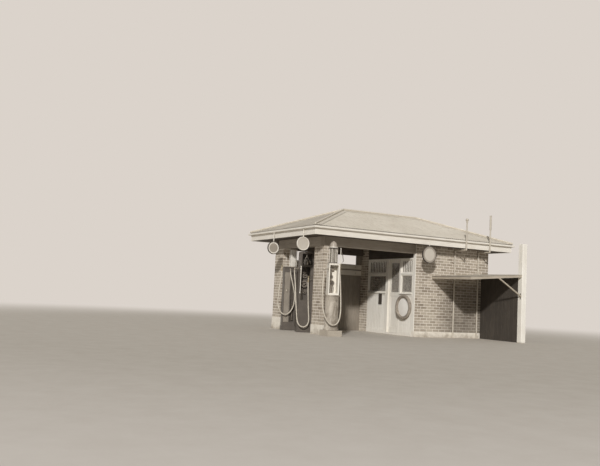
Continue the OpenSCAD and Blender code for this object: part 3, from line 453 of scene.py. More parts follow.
M = {
    "brick": brick_paint(),
    "mortar": mortar_paint(),
    "render": render_paint(),
    "concrete": concrete_paint(),
    "white": timber_paint("white_joinery", (244, 240, 231), (214, 207, 194), "Z", (168, 156, 140), 0.4, 0.5),
    "white_along": timber_paint("white_boards", (236, 231, 221), (208, 200, 187), "X", (166, 155, 139),
                                0.35, 0.5),
    "beam": timber_paint("beam_boards", (172, 162, 148), (132, 122, 109), "X", (206, 197, 183), 0.4),
    "beam_y": timber_paint("side_beam_boards", (186, 176, 162), (144, 134, 121), "Y", (206, 197, 183), 0.4),
    "dark": timber_paint("dark_boards", (104, 94, 83), (62, 54, 47), "X"),
    "dark_deep": timber_paint("dark_lining", (84, 76, 67), (50, 44, 38), "Y"),
    # Dark boards for the lean-to's side, made darker still as painted shade under the lean-to
    "dark_up": timber_paint("dark_upright_painted_shade", (76, 69, 61), (46, 41, 36), "Z"),
    "pale": timber_paint("weathered_rails", (232, 225, 212), (192, 182, 166), "X"),
    # Painted light: the bay's screen boards are a lighter copy of the dark upright boards, for light in the
    # shaded bay
    "screen_up": timber_paint("screen_upright_painted_light", (152, 143, 130), (108, 99, 88), "Z"),
    "pale_y": timber_paint("weathered_frame", (200, 190, 173), (140, 128, 112), "Y"),
    "iron_front": iron_paint("roof_iron_long", (222, 215, 202), (196, 188, 173), (168, 156, 138), 0.55, "Y"),
    # Painted shade: the end slopes' iron is a darker copy of the long slopes' iron
    "iron_side": iron_paint("roof_iron_end_painted_shade", (192, 185, 172), (164, 156, 143), (142, 130, 114), 0.55, "X"),
    "iron_lean": iron_paint("lean_iron_dull", (190, 182, 168), (160, 151, 137), (136, 124, 108), 0.6, "Y"),
    "white_metal": enamel_paint("white_enamel", (240, 235, 225), (216, 209, 196), (130, 119, 105), 0.4, 0.35),
    "pipe_metal": enamel_paint("pipe_paint", (204, 196, 182), (176, 167, 152), (128, 117, 103), 0.5, 0.45),
    "dark_metal": enamel_paint("dark_enamel", (92, 84, 76), (62, 56, 50), (160, 148, 132), 0.45, 0.3),
    "pump_dark": enamel_paint("pump_dark", (104, 96, 87), (72, 65, 58), (168, 156, 141), 0.45, 0.32),
    "pump_mid": enamel_paint("pump_mid", (192, 183, 169), (150, 140, 127), (214, 205, 191), 0.4, 0.35),
    "pump_door": enamel_paint("pump_door", (160, 151, 138), (116, 107, 96), (190, 181, 167), 0.4, 0.35),
    "pump_mottled": mottled_paint("pump_mottled", (192, 183, 169), (136, 126, 113), (94, 85, 76)),
    "dome_metal": enamel_paint("dome_enamel", (182, 173, 160), (146, 136, 123), (96, 86, 76), 0.5, 0.35),
    "works_metal": metal_paint("works_metal", (168, 158, 145), (92, 84, 75), 0.4, 0.5),
    "grey_metal": metal_paint("cast_iron", (128, 119, 108), (66, 59, 52)),
    "steel": metal_paint("bright_steel", (196, 189, 176), (130, 121, 108), 0.3, 0.85),
    "brass": metal_paint("dull_brass", (214, 201, 172), (156, 142, 114), 0.3, 0.7),
    "hose": hose_paint(),
    "rubber": rubber_paint(),
    # Window glass: its pale film is partly dust and partly painted reflection
    "glass": glass_paint("window_glass", (188, 181, 170), 0.5, 0.68),
    # Painted light: the rear measure's glass is tinted near white and made more opaque, standing for sunlit
    # glass
    "rear_glass": glass_paint("rear_measure_glass", (244, 240, 231), 0.35, 0.5),
    "front_glass": glass_paint("front_measure_glass", (150, 142, 130), 0.3, 0.7),
    "disc": enamel_paint("sign_enamel", (206, 199, 187), (184, 176, 163), (120, 109, 97), 0.3, 0.25),
    "disc_white": enamel_paint("sign_white", (252, 249, 243), (238, 233, 224), (160, 149, 135), 0.25, 0.3),
    "disc_mid": enamel_paint("sign_shade", (172, 163, 150), (142, 133, 121), (206, 198, 184), 0.3, 0.25),
    "disc_rim": enamel_paint("sign_rim", (92, 84, 75), (66, 59, 52), (150, 138, 122), 0.4, 0.35),
}

# Hoses: the routes are those of the solids, from the outlet to the nozzle.
# Pumps and hoses are in millimetres. A pump has its x, y and top, and a hose its points in the
# pump's own frame, as x, y and drop below that top.

MM = 1000
HOSE_R = 18
NECK_R = 12
PUMP_TURN = math.radians(18)
PUMPS = {"rear": (80, 2250, 1920), "middle": (130, 1300, 2400), "front": (95, -400, 2030)}
DROPS = {
    "rear": [
        (-20, -243, 75), (-20, -243, 185), (55, -235, 450), (135, -225, 720), (155, -220, 980),
        (110, -245, 1240), (-50, -290, 1440), (-225, -310, 1440), (-350, -300, 1280), (-385, -250, 1020),
        (-345, -195, 680), (-282, -132, 230), (-280, -130, 100),
    ],
    "middle": [
        (-328, 104, 540), (-328, 104, 660), (-300, 60, 900), (-285, -20, 1180), (-290, -150, 1480),
        (-270, -270, 1800), (-260, -360, 2140), (-115, -370, 2250), (30, -360, 2220), (115, -340, 2085),
        (70, -335, 1755), (42, -262, 1040), (42, -260, 900),
    ],
    "front": [
        (-295, -96, 210), (-295, -96, 330), (-320, -160, 640), (-335, -230, 960), (-325, -285, 1240),
        (-255, -320, 1510), (-120, -320, 1700), (50, -270, 1740), (180, -195, 1620), (240, -120, 1380),
        (240, -50, 1020), (209, 38, 310), (207, 40, 170),
    ],
}
STEPS = 8


def pump_place(name):
    x, y, _ = PUMPS[name]
    return Matrix.Translation((x / MM, y / MM, 0)) @ Matrix.Rotation(-PUMP_TURN, 4, "Z")


def pump_shape(name):
    """A shape in the pump's own frame, in millimetres."""
    return Shape(pump_place(name), MM)


def hose_end(name, index):
    x, y, drop = DROPS[name][index]
    return (x, y, PUMPS[name][2] - drop)


def smooth_route(points):
    """The solids' own curve through a list of points, its ends kept."""
    p = [2 * points[0] - points[1]] + points + [2 * points[-1] - points[-2]]
    line = []
    for i in range(len(points) - 1):
        for s in range(STEPS):
            t = s / STEPS
            line.append((p[i] * (1 - t) ** 3 + p[i + 1] * (3 * t ** 3 - 6 * t * t + 4)
                         + p[i + 2] * (3 * t * t + 3 * t + 1 - 3 * t ** 3) + p[i + 3] * t ** 3) / 6)
    line.append(points[-1])
    return line


def make_nozzle_trim(name):
    """Ferrule rings, valve nut and lever on the brass nozzle that stands in its ring."""
    x, y, z = hose_end(name, -1)
    grip = HOSE_R + 3
    low, high = NECK_R - 1, NECK_R + 5
    shape = pump_shape(name)
    for foot in range(4, 59, 11):
        shape.hoop([(grip - 1, foot), (grip + 2.5, foot + 2), (grip + 2.5, foot + 5), (grip - 1, foot + 7)],
                   (x, y, z), steps=28)
    shape.hoop([(low, 92), (high, 92), (high, 106), (low, 106)], (x, y, z), steps=6)
    lever = [(x + NECK_R * 0.6, y, z + 112), (x + 24, y, z + 117), (x + 32, y, z + 106), (x + 34, y, z + 92)]
    shape.tube(lever, [5, 4.5, 4, 3.5], 10)
    return shape.make(name + "_nozzle_trim", "brass", "brass", True)


def make_hose(name):
    place = pump_place(name)
    route = [place @ Vector([v / MM for v in hose_end(name, i)]) for i in range(len(DROPS[name]))]
    path = smooth_route(route)
    trim = make_nozzle_trim(name)
    shape = Shape()
    shape.tube(path, HOSE_R / MM, 14)
    hose = shape.make(name + "_hose_canvas", "hose", "hose_rubber", True, name + "_hose")
    length = sum((b - a).length for a, b in zip(path, path[1:]))
    tuple(path[0])
    [tuple(p) for p in path]
    return length


HOSE_LENGTHS = {name: make_hose(name) for name in DROPS}

# Building sizes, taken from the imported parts

(OFFICE_X, _, _), (HOUSE_W, BRICK_T, WALL_TOP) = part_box("front_wall")
HOUSE_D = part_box("rear_wall")[1][1]
EAVE_LOW, EAVE_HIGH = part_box("gutter")
RIDGE_Z = 3.88
SLOPE_Z = 3.065
SHEET_IN = 0.045
ROOF_HALF = (EAVE_HIGH[1] - EAVE_LOW[1]) / 2
ROOF_TAN = (RIDGE_Z - SLOPE_Z) / ROOF_HALF

# Brickwork

COURSE = 0.086
BRICK_H = 0.076
BRICK_L = 0.230
BRICK_W = 0.110
JOINT = 0.010
MORTAR_IN = 0.004
UNEVEN = 0.002


def runs(total, half_first):
    """Start and end of each brick along a course."""
    out = []
    at = 0.0
    while at < total - 0.03:
        end = at + (BRICK_W if half_first and not out else BRICK_L)
        if total - end < 0.06:
            end = total
        out.append((at, end))
        at = end + JOINT
    return out


def lay(shape, low, high, along, half_first, dice):
    """One row of bricks in a box, each pushed in by a little of its own."""
    side = 1 - along
    for a, b in runs(high[along] - low[along], half_first):
        p, q = list(low), list(high)
        p[along] = low[along] + a
        q[along] = low[along] + b
        p[side] += dice.uniform(0, UNEVEN)
        q[side] -= dice.uniform(0, UNEVEN)
        shape.box(p, q, 0.005)


def courses(node):
    """Each course of a wall, as its number and its box."""
    low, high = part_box(node)
    for i in range(int((high[2] - low[2]) / COURSE) + 1):
        foot = low[2] + i * COURSE
        top = min(foot + BRICK_H, high[2])
        if top - foot > 0.02:
            yield i, [low[0], low[1], foot], [high[0], high[1], top]


def finish_bricks(shape, node):
    """The bricks of a wall or pier, with the mortar between them set back."""
    shape.make(node + "_bricks", "brick", "brick")
    low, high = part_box(node)
    m = MORTAR_IN
    core = Shape()
    core.box((low[0] + m, low[1] + m, low[2]), (high[0] - m, high[1] - m, high[2]), 0.002)
    core.make(node + "_mortar", "mortar", "brick", False, node)


def one_wide(p, q, axis, near):
    """Cuts a box to one brick's width, at its near or its far side."""
    if near:
        q[axis] = p[axis] + BRICK_W
    else:
        p[axis] = q[axis] - BRICK_W


def brick_pier(node, dice):
    shape = Shape()
    for i, low, high in courses(node):
        along = i % 2
        side = 1 - along
        for near in (True, False):
            p, q = list(low), list(high)
            one_wide(p, q, side, near)
            lay(shape, p, q, along, i % 4 > 1, dice)
            p, q = list(low), list(high)
            p[side] += BRICK_W + JOINT
            q[side] -= BRICK_W + JOINT
            if q[side] - p[side] > 0.06:
                one_wide(p, q, along, near)
                lay(shape, p, q, side, i % 4 > 1, dice)
    finish_bricks(shape, node)


def brick_wall(node, along, start, end, dice, halves=True):
    """A wall one brick thick; start and end are how far it runs in odd and even courses."""
    shape = Shape()
    for i, p, q in courses(node):
        p[along] = start[i % 2]
        q[along] = end[i % 2]
        lay(shape, p, q, along, halves and i % 2 == 1, dice)
    finish_bricks(shape, node)


def make_bricks():
    dice = random.Random(11)
    for node in ("corner_pier", "side_pier", "office_pier"):
        brick_pier(node, dice)
    step = BRICK_T + JOINT
    for node, left in (("front_wall", OFFICE_X + 0.024), ("rear_wall", OFFICE_X + 0.24)):
        if node == "rear_wall":
            brick_wall("right_wall", 1, (step, 0.0), (HOUSE_D - step, HOUSE_D), dice, False)
        brick_wall(node, 0, (left, left), (HOUSE_W, HOUSE_W - step), dice)
    trim = Shape()
    head = 2.55
    trim.box((OFFICE_X, 0, 0.17), (OFFICE_X + 0.022, BRICK_T, head), 0.003)
    trim.box((OFFICE_X, 0.004, head), (OFFICE_X + 0.018, BRICK_T, WALL_TOP), 0.003)
    trim.make("wall_end_board", "white", "white_timber")


make_bricks()

# Boards

TONGUE_IN = 0.005
BOARD_BEVEL = 0.003


def boards(shape, low, high, stack, width, gap=0.002, bevel=BOARD_BEVEL, joints=None, dice=None):
    """Fills a box with boards set side by side along one axis; joints cut them along another."""
    total = high[stack] - low[stack]
    count = max(1, round(total / width))
    each = total / count
    for i in range(count):
        p, q = list(low), list(high)
        p[stack] = low[stack] + i * each + (gap / 2 if i else 0)
        q[stack] = low[stack] + (i + 1) * each - (gap / 2 if i < count - 1 else 0)
        if joints is None:
            shape.box(p, q, bevel)
            continue
        axis, length = joints
        at = p[axis]
        end = q[axis]
        size = length * (dice.uniform(0.4, 1.0) if dice else 1.0)
        while at < end - 0.01:
            a, b = list(p), list(q)
            a[axis] = at
            b[axis] = min(at + size, end)
            if end - b[axis] < 0.3:
                b[axis] = end
            shape.box(a, b, bevel)
            at = b[axis] + 0.002
            size = length


def board_piece(name, node, stack, width, look, seed, joints=None, bevel=BOARD_BEVEL, inset=0.0):
    """Dark boards in place of a node, with the tongues that close their joints."""
    low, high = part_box(node)
    low = (low[0] + inset, low[1], low[2])
    shape = Shape()
    boards(shape, low, high, stack, width, 0.003, bevel, joints, random.Random(seed))
    shape.box([v + TONGUE_IN for v in low], [v - TONGUE_IN for v in high])
    shape.make(name + "_boards", look, "dark_timber", False, node)


board_piece("front_beam", "front_beam", 2, 0.14, "beam", 2, (0, 2.4))
board_piece("left_beam", "left_beam", 2, 0.14, "beam_y", 3, (1, 2.2))
board_piece("rear_beam", "rear_beam", 2, 0.14, "dark", 4, (0, 2.4))
board_piece("soffit", "soffit", 1, 0.11, "dark", 5, (0, 3.6), 0.004)
# The screen's boards carry painted light for the shaded bay
board_piece("screen", "rear_screen", 0, 0.15, "screen_up", 6, None, 0.005, 0.012)
# The lean-to's side boards carry painted shade besides their dark paint
board_piece("lean_side", "lean_to_side", 1, 0.16, "dark_up", 7, None, 0.005)
board_piece("wall_head", "wall_head", 1, 0.12, "dark_deep", 8)


def make_rails():
    low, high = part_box("screen_rails")
    mid_y = (low[1] + high[1]) / 2
    back_y, front_y = mid_y + 0.02, mid_y - 0.02
    rail_h = 0.165
    upper = low[2] + rail_h + 0.04
    shape = Shape()
    for z in (low[2], upper):
        top = z + rail_h
        boards(shape, (low[0], low[1], z), (high[0], high[1], top), 2, rail_h / 2, 0.002, 0.004, (0, 1.9))
    shape.make("pale_rails", "pale", "pale_timber", False, "screen_rails")
    back = Shape()
    back.box((low[0], front_y, low[2] + rail_h), (high[0], back_y, upper), 0.002)
    boards(back, (high[0] - 0.21, front_y, upper + rail_h), (high[0], back_y, high[2]), 0, 0.105)
    back.make("rail_backing", "screen_up", "pale_timber")
    bolts = Shape()
    head = [(0.016, 0), (0.016, 0.003), (0.009, 0.006), (0.009, 0.009), (0.0, 0.01)]
    for x, z in product((0.75, 1.6, 2.45, 3.0), (low[2] + 0.08, upper + 0.08)):
        bolts.lathe(head, (x, low[1] + 0.006, z), STREET, 12)
    bolts.make("rail_bolts", "grey_metal", "pale_timber", True)


make_rails()


def make_fascia():
    low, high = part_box("fascia")
    t = 0.025
    foot, top = low[2], SLOPE_Z
    shape = Shape()
    for y in (low[1], high[1] - t):
        boards(shape, (low[0], y, foot), (high[0], y + t, top), 2, 0.3, 0.0, 0.004, (0, 3.6))
    for x in (low[0], high[0] - t):
        boards(shape, (x, low[1] + t, foot), (x + t, high[1] - t, top), 2, 0.3, 0.0, 0.004, (1, 3.0))
    shape.make("fascia_boards", "white_along", "white_timber", False, "fascia")


make_fascia()

# Roof of corrugated iron

WAVE = 0.0762
WAVES_A_SHEET = 8
LAP_AT = 1.2
SCREW = [(0.011, 0), (0.010, 0.002), (0.005, 0.004)]


def slope_axis(side):
    return 0 if side in ("front", "rear") else 1


def slope_point(side, u, v, h):
    z = SLOPE_Z + v * ROOF_TAN + h
    axis = 1 - slope_axis(side)
    reach = EAVE_LOW[axis] + v if side in ("front", "left") else EAVE_HIGH[axis] - v
    return (u, reach, z) if axis else (reach, u, z)


def slope_top(side, u):
    axis = slope_axis(side)
    return min(ROOF_HALF, u - EAVE_LOW[axis], EAVE_HIGH[axis] - u)


def wave_height(u):
    return -0.0092 + 0.0072 * math.cos(2 * math.pi * u / WAVE)


def wave_strip(shape, columns, foot, top, point, height, thick=0.0012):
    """A closed wavy sheet between foot(u) and top(u)."""
    verts = []
    for u in columns:
        h = height(u)
        verts += [point(u, v, z) for z in (h, h - thick) for v in (foot(u), top(u))]
    faces = []
    for p in range(0, len(columns) * 4 - 4, 4):
        n = p + 4
        faces += [(p, n, n + 1, p + 1), (p + 2, p + 3, n + 3, n + 2)]
        faces += [(p, p + 2, n + 2, n), (p + 1, n + 1, n + 3, p + 3)]
    end = (len(columns) - 1) * 4
    faces += [(0, 1, 3, 2), (end, end + 2, end + 3, end + 1)]
    shape.add(verts, faces)


def make_slope(side, look):
    axis = slope_axis(side)
    u0 = EAVE_LOW[axis] + SHEET_IN
    u1 = EAVE_HIGH[axis] - SHEET_IN
    sheet = WAVE * WAVES_A_SHEET
    samples = WAVES_A_SHEET * 8
    shape = Shape()

    def strip(columns, foot, top, rise):
        wave_strip(shape, columns, lambda u: foot, lambda u: max(foot + 0.001, min(top, slope_top(side, u))),
                   lambda u, v, h: slope_point(side, u, v, h), lambda u: wave_height(u) + rise)

    for k in range(int((u1 - u0) / sheet) + 1):
        start = u0 + k * sheet
        end = min(start + sheet, u1)
        columns = [start + (end - start) * i / samples for i in range(samples + 1)]
        if columns[-1] - columns[0] < WAVE / 2:
            continue
        strip(columns, SHEET_IN, LAP_AT, -0.0006)
        high = [u for u in columns if slope_top(side, u) > LAP_AT - 0.05]
        if len(high) > 4:
            strip(high, LAP_AT - 0.08, ROOF_HALF, 0.0012)
    shape.make("iron_" + side, look, "roof_iron", True, "roof_" + side)
    screws = Shape()
    for v in (0.12, 0.72, 1.32, 1.92):
        for n in range(math.ceil(u0 / WAVE), int(u1 / WAVE), 3):
            u = n * WAVE
            if slope_top(side, u) > v + 0.2:
                screws.lathe(SCREW, slope_point(side, u, v, wave_height(u)), UP, 6)
    screws.make("iron_%s_screws" % side, "steel", "roof_iron")


for side in ("front", "rear"):
    make_slope(side, "iron_front")
for side in ("left", "right"):
    make_slope(side, "iron_side")


def make_gutter_joints():
    """Overlap bands where the gutter's lengths meet, and brackets across it, on the inside of its outline."""
    low, high = EAVE_LOW, EAVE_HIGH
    z0, z1 = low[2], high[2]
    width, proud, band = 0.075, 0.0015, 0.03
    length, spacing = 1.83, 0.6
    bands = Shape()
    for x in [low[0] + 0.9 + length * k for k in range(4)]:
        for y in (low[1], high[1] - width):
            bands.box((x, y + 0.001, z0 - proud), (x + band, y + 0.074, z0 + 0.001))
        bands.box((x, low[1] - proud, z0 - proud), (x + band, low[1] + 0.001, z1))
    for y in [low[1] + 0.9 + length * k for k in range(2)]:
        bands.box((low[0] - proud, y, z0 - proud), (low[0] + 0.001, y + band, z1))
    bands.make("gutter_bands", "white_metal", "white_metal")
    brackets = Shape()
    foot, top = z1 - 0.006, z1 - 0.002
    for x in [low[0] + spacing / 2 + spacing * k for k in range(12)]:
        for y in (low[1], high[1] - width):
            brackets.box((x, y + 0.003, foot), (x + 0.02, y + 0.072, top))
    for y in [low[1] + spacing / 2 + spacing * k for k in range(7)]:
        for x in (low[0], high[0] - width):
            brackets.box((x + 0.003, y, foot), (x + 0.072, y + 0.02, top))
    brackets.make("gutter_brackets", "white_metal", "white_metal")


make_gutter_joints()

# Office wall to the bay

WALL_X0, WALL_X1 = OFFICE_X, OFFICE_X + 0.1


def bar_frame(shape, x0, x1, y0, y1, z0, z1, w, bevel=0.003):
    """Four bars round an opening in a wall that runs along Y."""
    shape.box((x0, y0, z0), (x1, y0 + w, z1), bevel)
    shape.box((x0, y1 - w, z0), (x1, y1, z1), bevel)
    shape.box((x0, y0 + w, z0), (x1, y1 - w, z0 + w), bevel)
    shape.box((x0, y0 + w, z1 - w), (x1, y1 - w, z1), bevel)


def both_faces(x0, x1, near, far):
    """The depth from near to far under a wall's two faces."""
    return ((x0 + near, x0 + far), (x1 - far, x1 - near))


def make_dado(node):
    (x0, y0, z0), (x1, y1, z1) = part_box(node)
    shape = Shape()
    shape.box((x0 + 0.014, y0, z0), (x1 - 0.014, y1, z1), 0.001)
    for a, b in both_faces(x0, x1, 0.006, 0.0145):
        boards(shape, (a, y0, z0 + 0.12), (b, y1, z1 - 0.06), 1, 0.088, 0.003)
    for a, b in both_faces(x0, x1, 0, 0.016):
        shape.box((a, y0, z0), (b, y1, z0 + 0.125), 0.005)
        shape.box((a, y0, z1 - 0.065), (b, y1, z1), 0.005)
    shape.make(node + "_boards", "white", "white_timber", False, node)


def make_window(node):
    (low_x, y0, z0), (_, y1, z1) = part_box(node)
    w, edge = 0.045, 0.03
    rail, rail_top = 1.89, 1.89 + 0.065
    shape = Shape()
    bar_frame(shape, WALL_X0, WALL_X1, y0, y1, z0, z1, w, 0.004)
    shape.box((WALL_X0, y0 + w, rail), (WALL_X1, y1 - w, rail_top), 0.004)
    shape.box((low_x, y0, z0), (WALL_X0 + 0.001, y1, z0 + w / 2), 0.004)
    shape.make(node + "_posts", "white", "white_timber", False, node)
    sash = Shape()
    width = y1 - y0 - 2 * w
    parts = max(1, round(width / 0.8))
    for k in range(parts):
        s0, s1 = [y0 + w + n * width / parts for n in (k, k + 1)]
        for foot, top in ((z0 + w, rail), (rail_top, z1 - w)):
            bar_frame(sash, WALL_X0 + 0.022, WALL_X0 + 0.078, s0, s1, foot, top, 0.032)
    sash.make(node + "_sashes", "white", "white_timber")
    bars = Shape()
    foot, top = rail_top + edge, z1 - w - edge
    count = max(3, round((width - 2 * edge) / 0.093))
    gap = (width - 2 * edge) / count
    for k in range(1, count):
        y = y0 + w + edge + k * gap
        bars.box((WALL_X0 + 0.040, y - 0.009, foot), (WALL_X0 + 0.060, y + 0.009, top), 0.003)
    for k in range(count):
        y = y0 + w + edge + (k + 0.5) * gap
        half = gap / 2 - 0.006
        bars.tube([(WALL_X0 + 0.05, y - half * math.cos(t), top - 0.06 + 0.05 * math.sin(t))
                   for t in [math.pi * i / 8 for i in range(9)]], 0.006, 6)
    bars.make(node + "_leading", "white", "white_timber")


def make_notice_board():
    (x, y0, z0), (_, y1, z1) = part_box("notice_board")
    w = 0.02
    board = Shape()
    for z in (z0, z1 - w):
        board.box((x + 0.004, y0, z), (x + w, y1, z + w), 0.002)
    for y in (y0, y1 - w):
        board.box((x + 0.004, y, z0 + w), (x + w, y + w, z1 - w), 0.002)
    board.box((x + 0.010, y0 + w, z0 + w), (x + w, y1 - w, z1 - w), 0.001)
    board.make("notice_frame", "dark_metal", "dark_metal", False, "notice_board")


for node in ("near_dado", "far_dado"):
    make_dado(node)
for node in ("near_window", "far_window"):
    make_window(node)
make_notice_board()


def make_door_trim():
    low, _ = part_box("door_leaf")
    (_, y0, glass_z0), (_, y1, glass_z1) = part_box("door_glass")
    x0, x1 = WALL_X1 - 0.04, WALL_X1
    z0, z1 = low[2] + 0.16, glass_z0 - 0.12
    inset = 0.045
    beads = Shape()
    for a, b in both_faces(x0, x1, 0.004, 0.012):
        bar_frame(beads, a, b, y0, y1, glass_z0, glass_z1, 0.012, 0.003)
    for a, b in both_faces(x0, x1, 0.0035, 0.0125):
        bar_frame(beads, a, b, y0, y1, z0, z1, 0.018, 0.004)
    for a, b in both_faces(x0, x1, 0.006, 0.0125):
        beads.box((a, y0 + inset, z0 + inset), (b, y1 - inset, z1 - inset), 0.005)
    beads.make("door_mouldings", "white", "white_timber", body="door")
    lock = Shape()
    for x in (x1, x0 - 0.003):
        lock.box((x, low[1] + 0.02, 1.0), (x + 0.003, low[1] + 0.06, 1.12), 0.001)
    lock.make("door_lock_plates", "brass", "brass", body="door")


make_door_trim()

# Lean-to

LEAN_RISE = 0.085
LEAN_FALL = 0.01
LEAN_Z = 1.88


def middle_x(node):
    low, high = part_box(node)
    return (low[0] + high[0]) / 2


def make_lean_to():
    (x0, y0, _), (x1, y1, _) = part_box("lean_to_sheet")
    pipes = [middle_x("left_vent_pipe"), middle_x("right_vent_pipe")]
    steps = int((x1 - x0) / WAVE * 8)
    columns = [x0 + (x1 - x0) * i / steps for i in range(steps + 1)]

    def back(u):
        return y1 - 0.072 if any(abs(u - p) < 0.05 for p in pipes) else y1

    def point(u, v, h):
        return (u, v, LEAN_Z + (u - x0) * LEAN_RISE + v * LEAN_FALL + h)

    sheet = Shape()
    wave_strip(sheet, columns, lambda u: y0, back, point,
               lambda u: 0.0078 + 0.006 * math.cos(2 * math.pi * u / WAVE))
    sheet.make("lean_iron", "iron_lean", "roof_iron", True, "lean_to_sheet")
    low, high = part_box("lean_to_post")
    post = Shape()
    post.box(low, high, 0.012)
    post.make("post_shaft", "white", "white_timber", False, "lean_to_post")
    plates = Shape()
    face = low[0] - 0.004
    plates.box((face, low[1] + 0.05, 1.30), (low[0], low[1] + 0.08, 1.48), 0.001)
    for z in (1.33, 1.45):
        plates.lathe([(0.012, 0), (0.012, 0.004), (0.007, 0.007), (0.0, 0.008)],
                     (face, low[1] + 0.065, z), (-1, 0, 0), 10)
    plates.make("brace_plate", "grey_metal", "pale_timber")


make_lean_to()

# Vent pipes


def make_vent(node, from_wall, rings):
    """Sockets, clip screws and cap rings; rings are (radius, how proud, half height, edge, down)."""
    low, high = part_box(node)
    x = middle_x(node)
    y = low[1] + from_wall
    shape = Shape()
    for z in (1.2, 2.3):
        shape.lathe([(0.022, -0.03), (0.027, -0.026), (0.027, 0.026), (0.022, 0.03)], (x, -0.04, z), UP, 20)
    for z in (2.80, 3.2):
        shape.lathe([(0.022, -0.02), (0.028, -0.016), (0.028, 0.03), (0.022, 0.034)], (x, y, z), UP, 20)
    for r, out, half, edge, down in rings:
        shape.lathe([(r, -half), (out, edge - half), (out, half - edge), (r, half)],
                    (x, y, high[2] - down), UP, 20)
    shape.make(node + "_sockets", "pipe_metal", "white_metal", True)
    screws = Shape()
    for k, dx in product(range(3), (-0.029, 0.029)):
        z = 0.7 + 0.825 * k + 0.015
        screws.lathe([(0.006, 0), (0.006, 0.002), (0.003, 0.004)], (x + dx, -0.04, z), STREET, 8)
    screws.make(node + "_screws", "grey_metal", "white_metal")


make_vent("left_vent_pipe", 0.048, [(0.022, 0.03, 0.0225, 0.005, 0.1175)])
make_vent("right_vent_pipe", 0.032, [(0.032, 0.036, 0.008, 0.004, down) for down in (0.44, 0.30, 0.16, 0.02)])

# Signs and the ring on the wall

ALONG_Y = (0, 1, 0)


def make_sign(node, rim_look, ring_look, field_look):
    low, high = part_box(node)
    r = (high[0] - low[0]) / 2
    x, y, z = middle_x(node), (low[1] + high[1]) / 2, low[2] + r
    centre = (x, y, z)
    half = 0.028
    rim = Shape()
    rim.hoop([(r - 0.020, -half + 0.004), (r - 0.014, -half), (r - 0.004, -half), (r, -half + 0.006),
              (r, half - 0.006), (r - 0.004, half), (r - 0.014, half), (r - 0.020, half - 0.004)],
             centre, ALONG_Y, 64)
    rim.make(node + "_rim", rim_look, "white_metal", True, node)
    inner = r * 0.72
    ring = Shape()
    ring.hoop([(r - 0.019, -0.018), (inner + 0.004, -0.0205), (inner, -0.019), (inner, 0.019),
               (inner + 0.004, 0.0205), (r - 0.019, 0.018)], centre, ALONG_Y, 64)
    ring.make(node + "_ring", ring_look, "white_metal", True)
    field = Shape()
    field.lathe([(0.001, -0.0195), (inner * 0.6, -0.0190), (inner + 0.001, -0.018), (inner + 0.001, 0.018),
                 (inner * 0.6, 0.0190), (0.001, 0.0195)], centre, ALONG_Y, 64)
    field.make(node + "_field", field_look, "white_metal", True)
    hanger = Shape()
    hanger.box((x - 0.012, y - 0.004, z + r - 0.004), (x + 0.012, y + 0.004, high[2]), 0.001)
    for up in (0.02, 0.10):
        hanger.lathe([(0.008, 0), (0.008, 0.003), (0.004, 0.005)], (x, y - 0.004, z + r + up), STREET, 8)
    for t in turns(8, 0.5):
        at = (x + (r - 0.009) * math.cos(t), y - half, z + (r - 0.009) * math.sin(t))
        hanger.lathe([(0.005, -0.001), (0.004, 0.0015), (0.0, 0.002)], at, STREET, 8)
    hanger.make(node + "_hanger", "white_metal", "white_metal")


make_sign("rear_eave_sign", "disc_rim", "white_metal", "disc_mid")
make_sign("corner_eave_sign", "white_metal", "disc", "disc")
make_sign("front_eave_sign", "disc_rim", "disc_mid", "disc")


def make_ring():
    low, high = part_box("wall_ring")
    centre = Vector((OFFICE_X, (low[1] + high[1]) / 2, (low[2] + high[2]) / 2))
    tube = 0.05
    mid = (high[1] - low[1]) / 2 - tube
    steps, sides = 72, 24
    verts, faces = [], []
    for i, t in enumerate(turns(steps)):
        for k, a in enumerate(turns(sides)):
            groove = 0.004 if math.cos(a) > 0.55 and i % 2 == 0 else 0.0
            rib = 0.003 if 0.1 < math.cos(a) < 0.35 else 0.0
            size = tube - groove - rib
            radial = mid + size * math.cos(a)
            at = Vector((size * math.sin(a) - tube, radial * math.cos(t), radial * math.sin(t)))
            verts.append(centre + at)
            n, m = (i + 1) % steps, (k + 1) % sides
            faces.append((i * sides + k, n * sides + k, n * sides + m, i * sides + m))
    tyre = Shape()
    tyre.add(verts, faces)
    tyre.make("ring_tyre", "rubber", "tyre_rubber", True, "wall_ring")
    disc = Shape()
    r = mid - tube + 0.014
    disc.lathe([(r, 0.0), (r, 0.030), (r - 0.03, 0.036), (r * 0.6, 0.046), (0.05, 0.049), (0.045, 0.0495),
                (0.0, 0.05)], centre, (-1, 0, 0), 64)
    disc.make("ring_disc", "disc_white", "tyre_rubber", True)


make_ring()

# Pumps, each drawn in its own frame, in millimetres, with its front towards the street

PLINTH = 130
CAP_SLAB = 40
CAP_OVER = 15
OUTLET_R = 16
OUTLET_RISE = 45
OUTLET_BEND = 22
ROOT = 5
GRIP_H = 60
HOLDER_T = 12


def quarter(steps):
    """Angles from 0 to a right angle."""
    return [math.pi / 2 * i / steps for i in range(steps + 1)]


def bolt(shape, at, axis, radius=6.0):
    shape.lathe([(radius, -1), (radius, 3), (radius * 0.7, 5), (radius * 0.1, 5.5)], at, axis, 6)


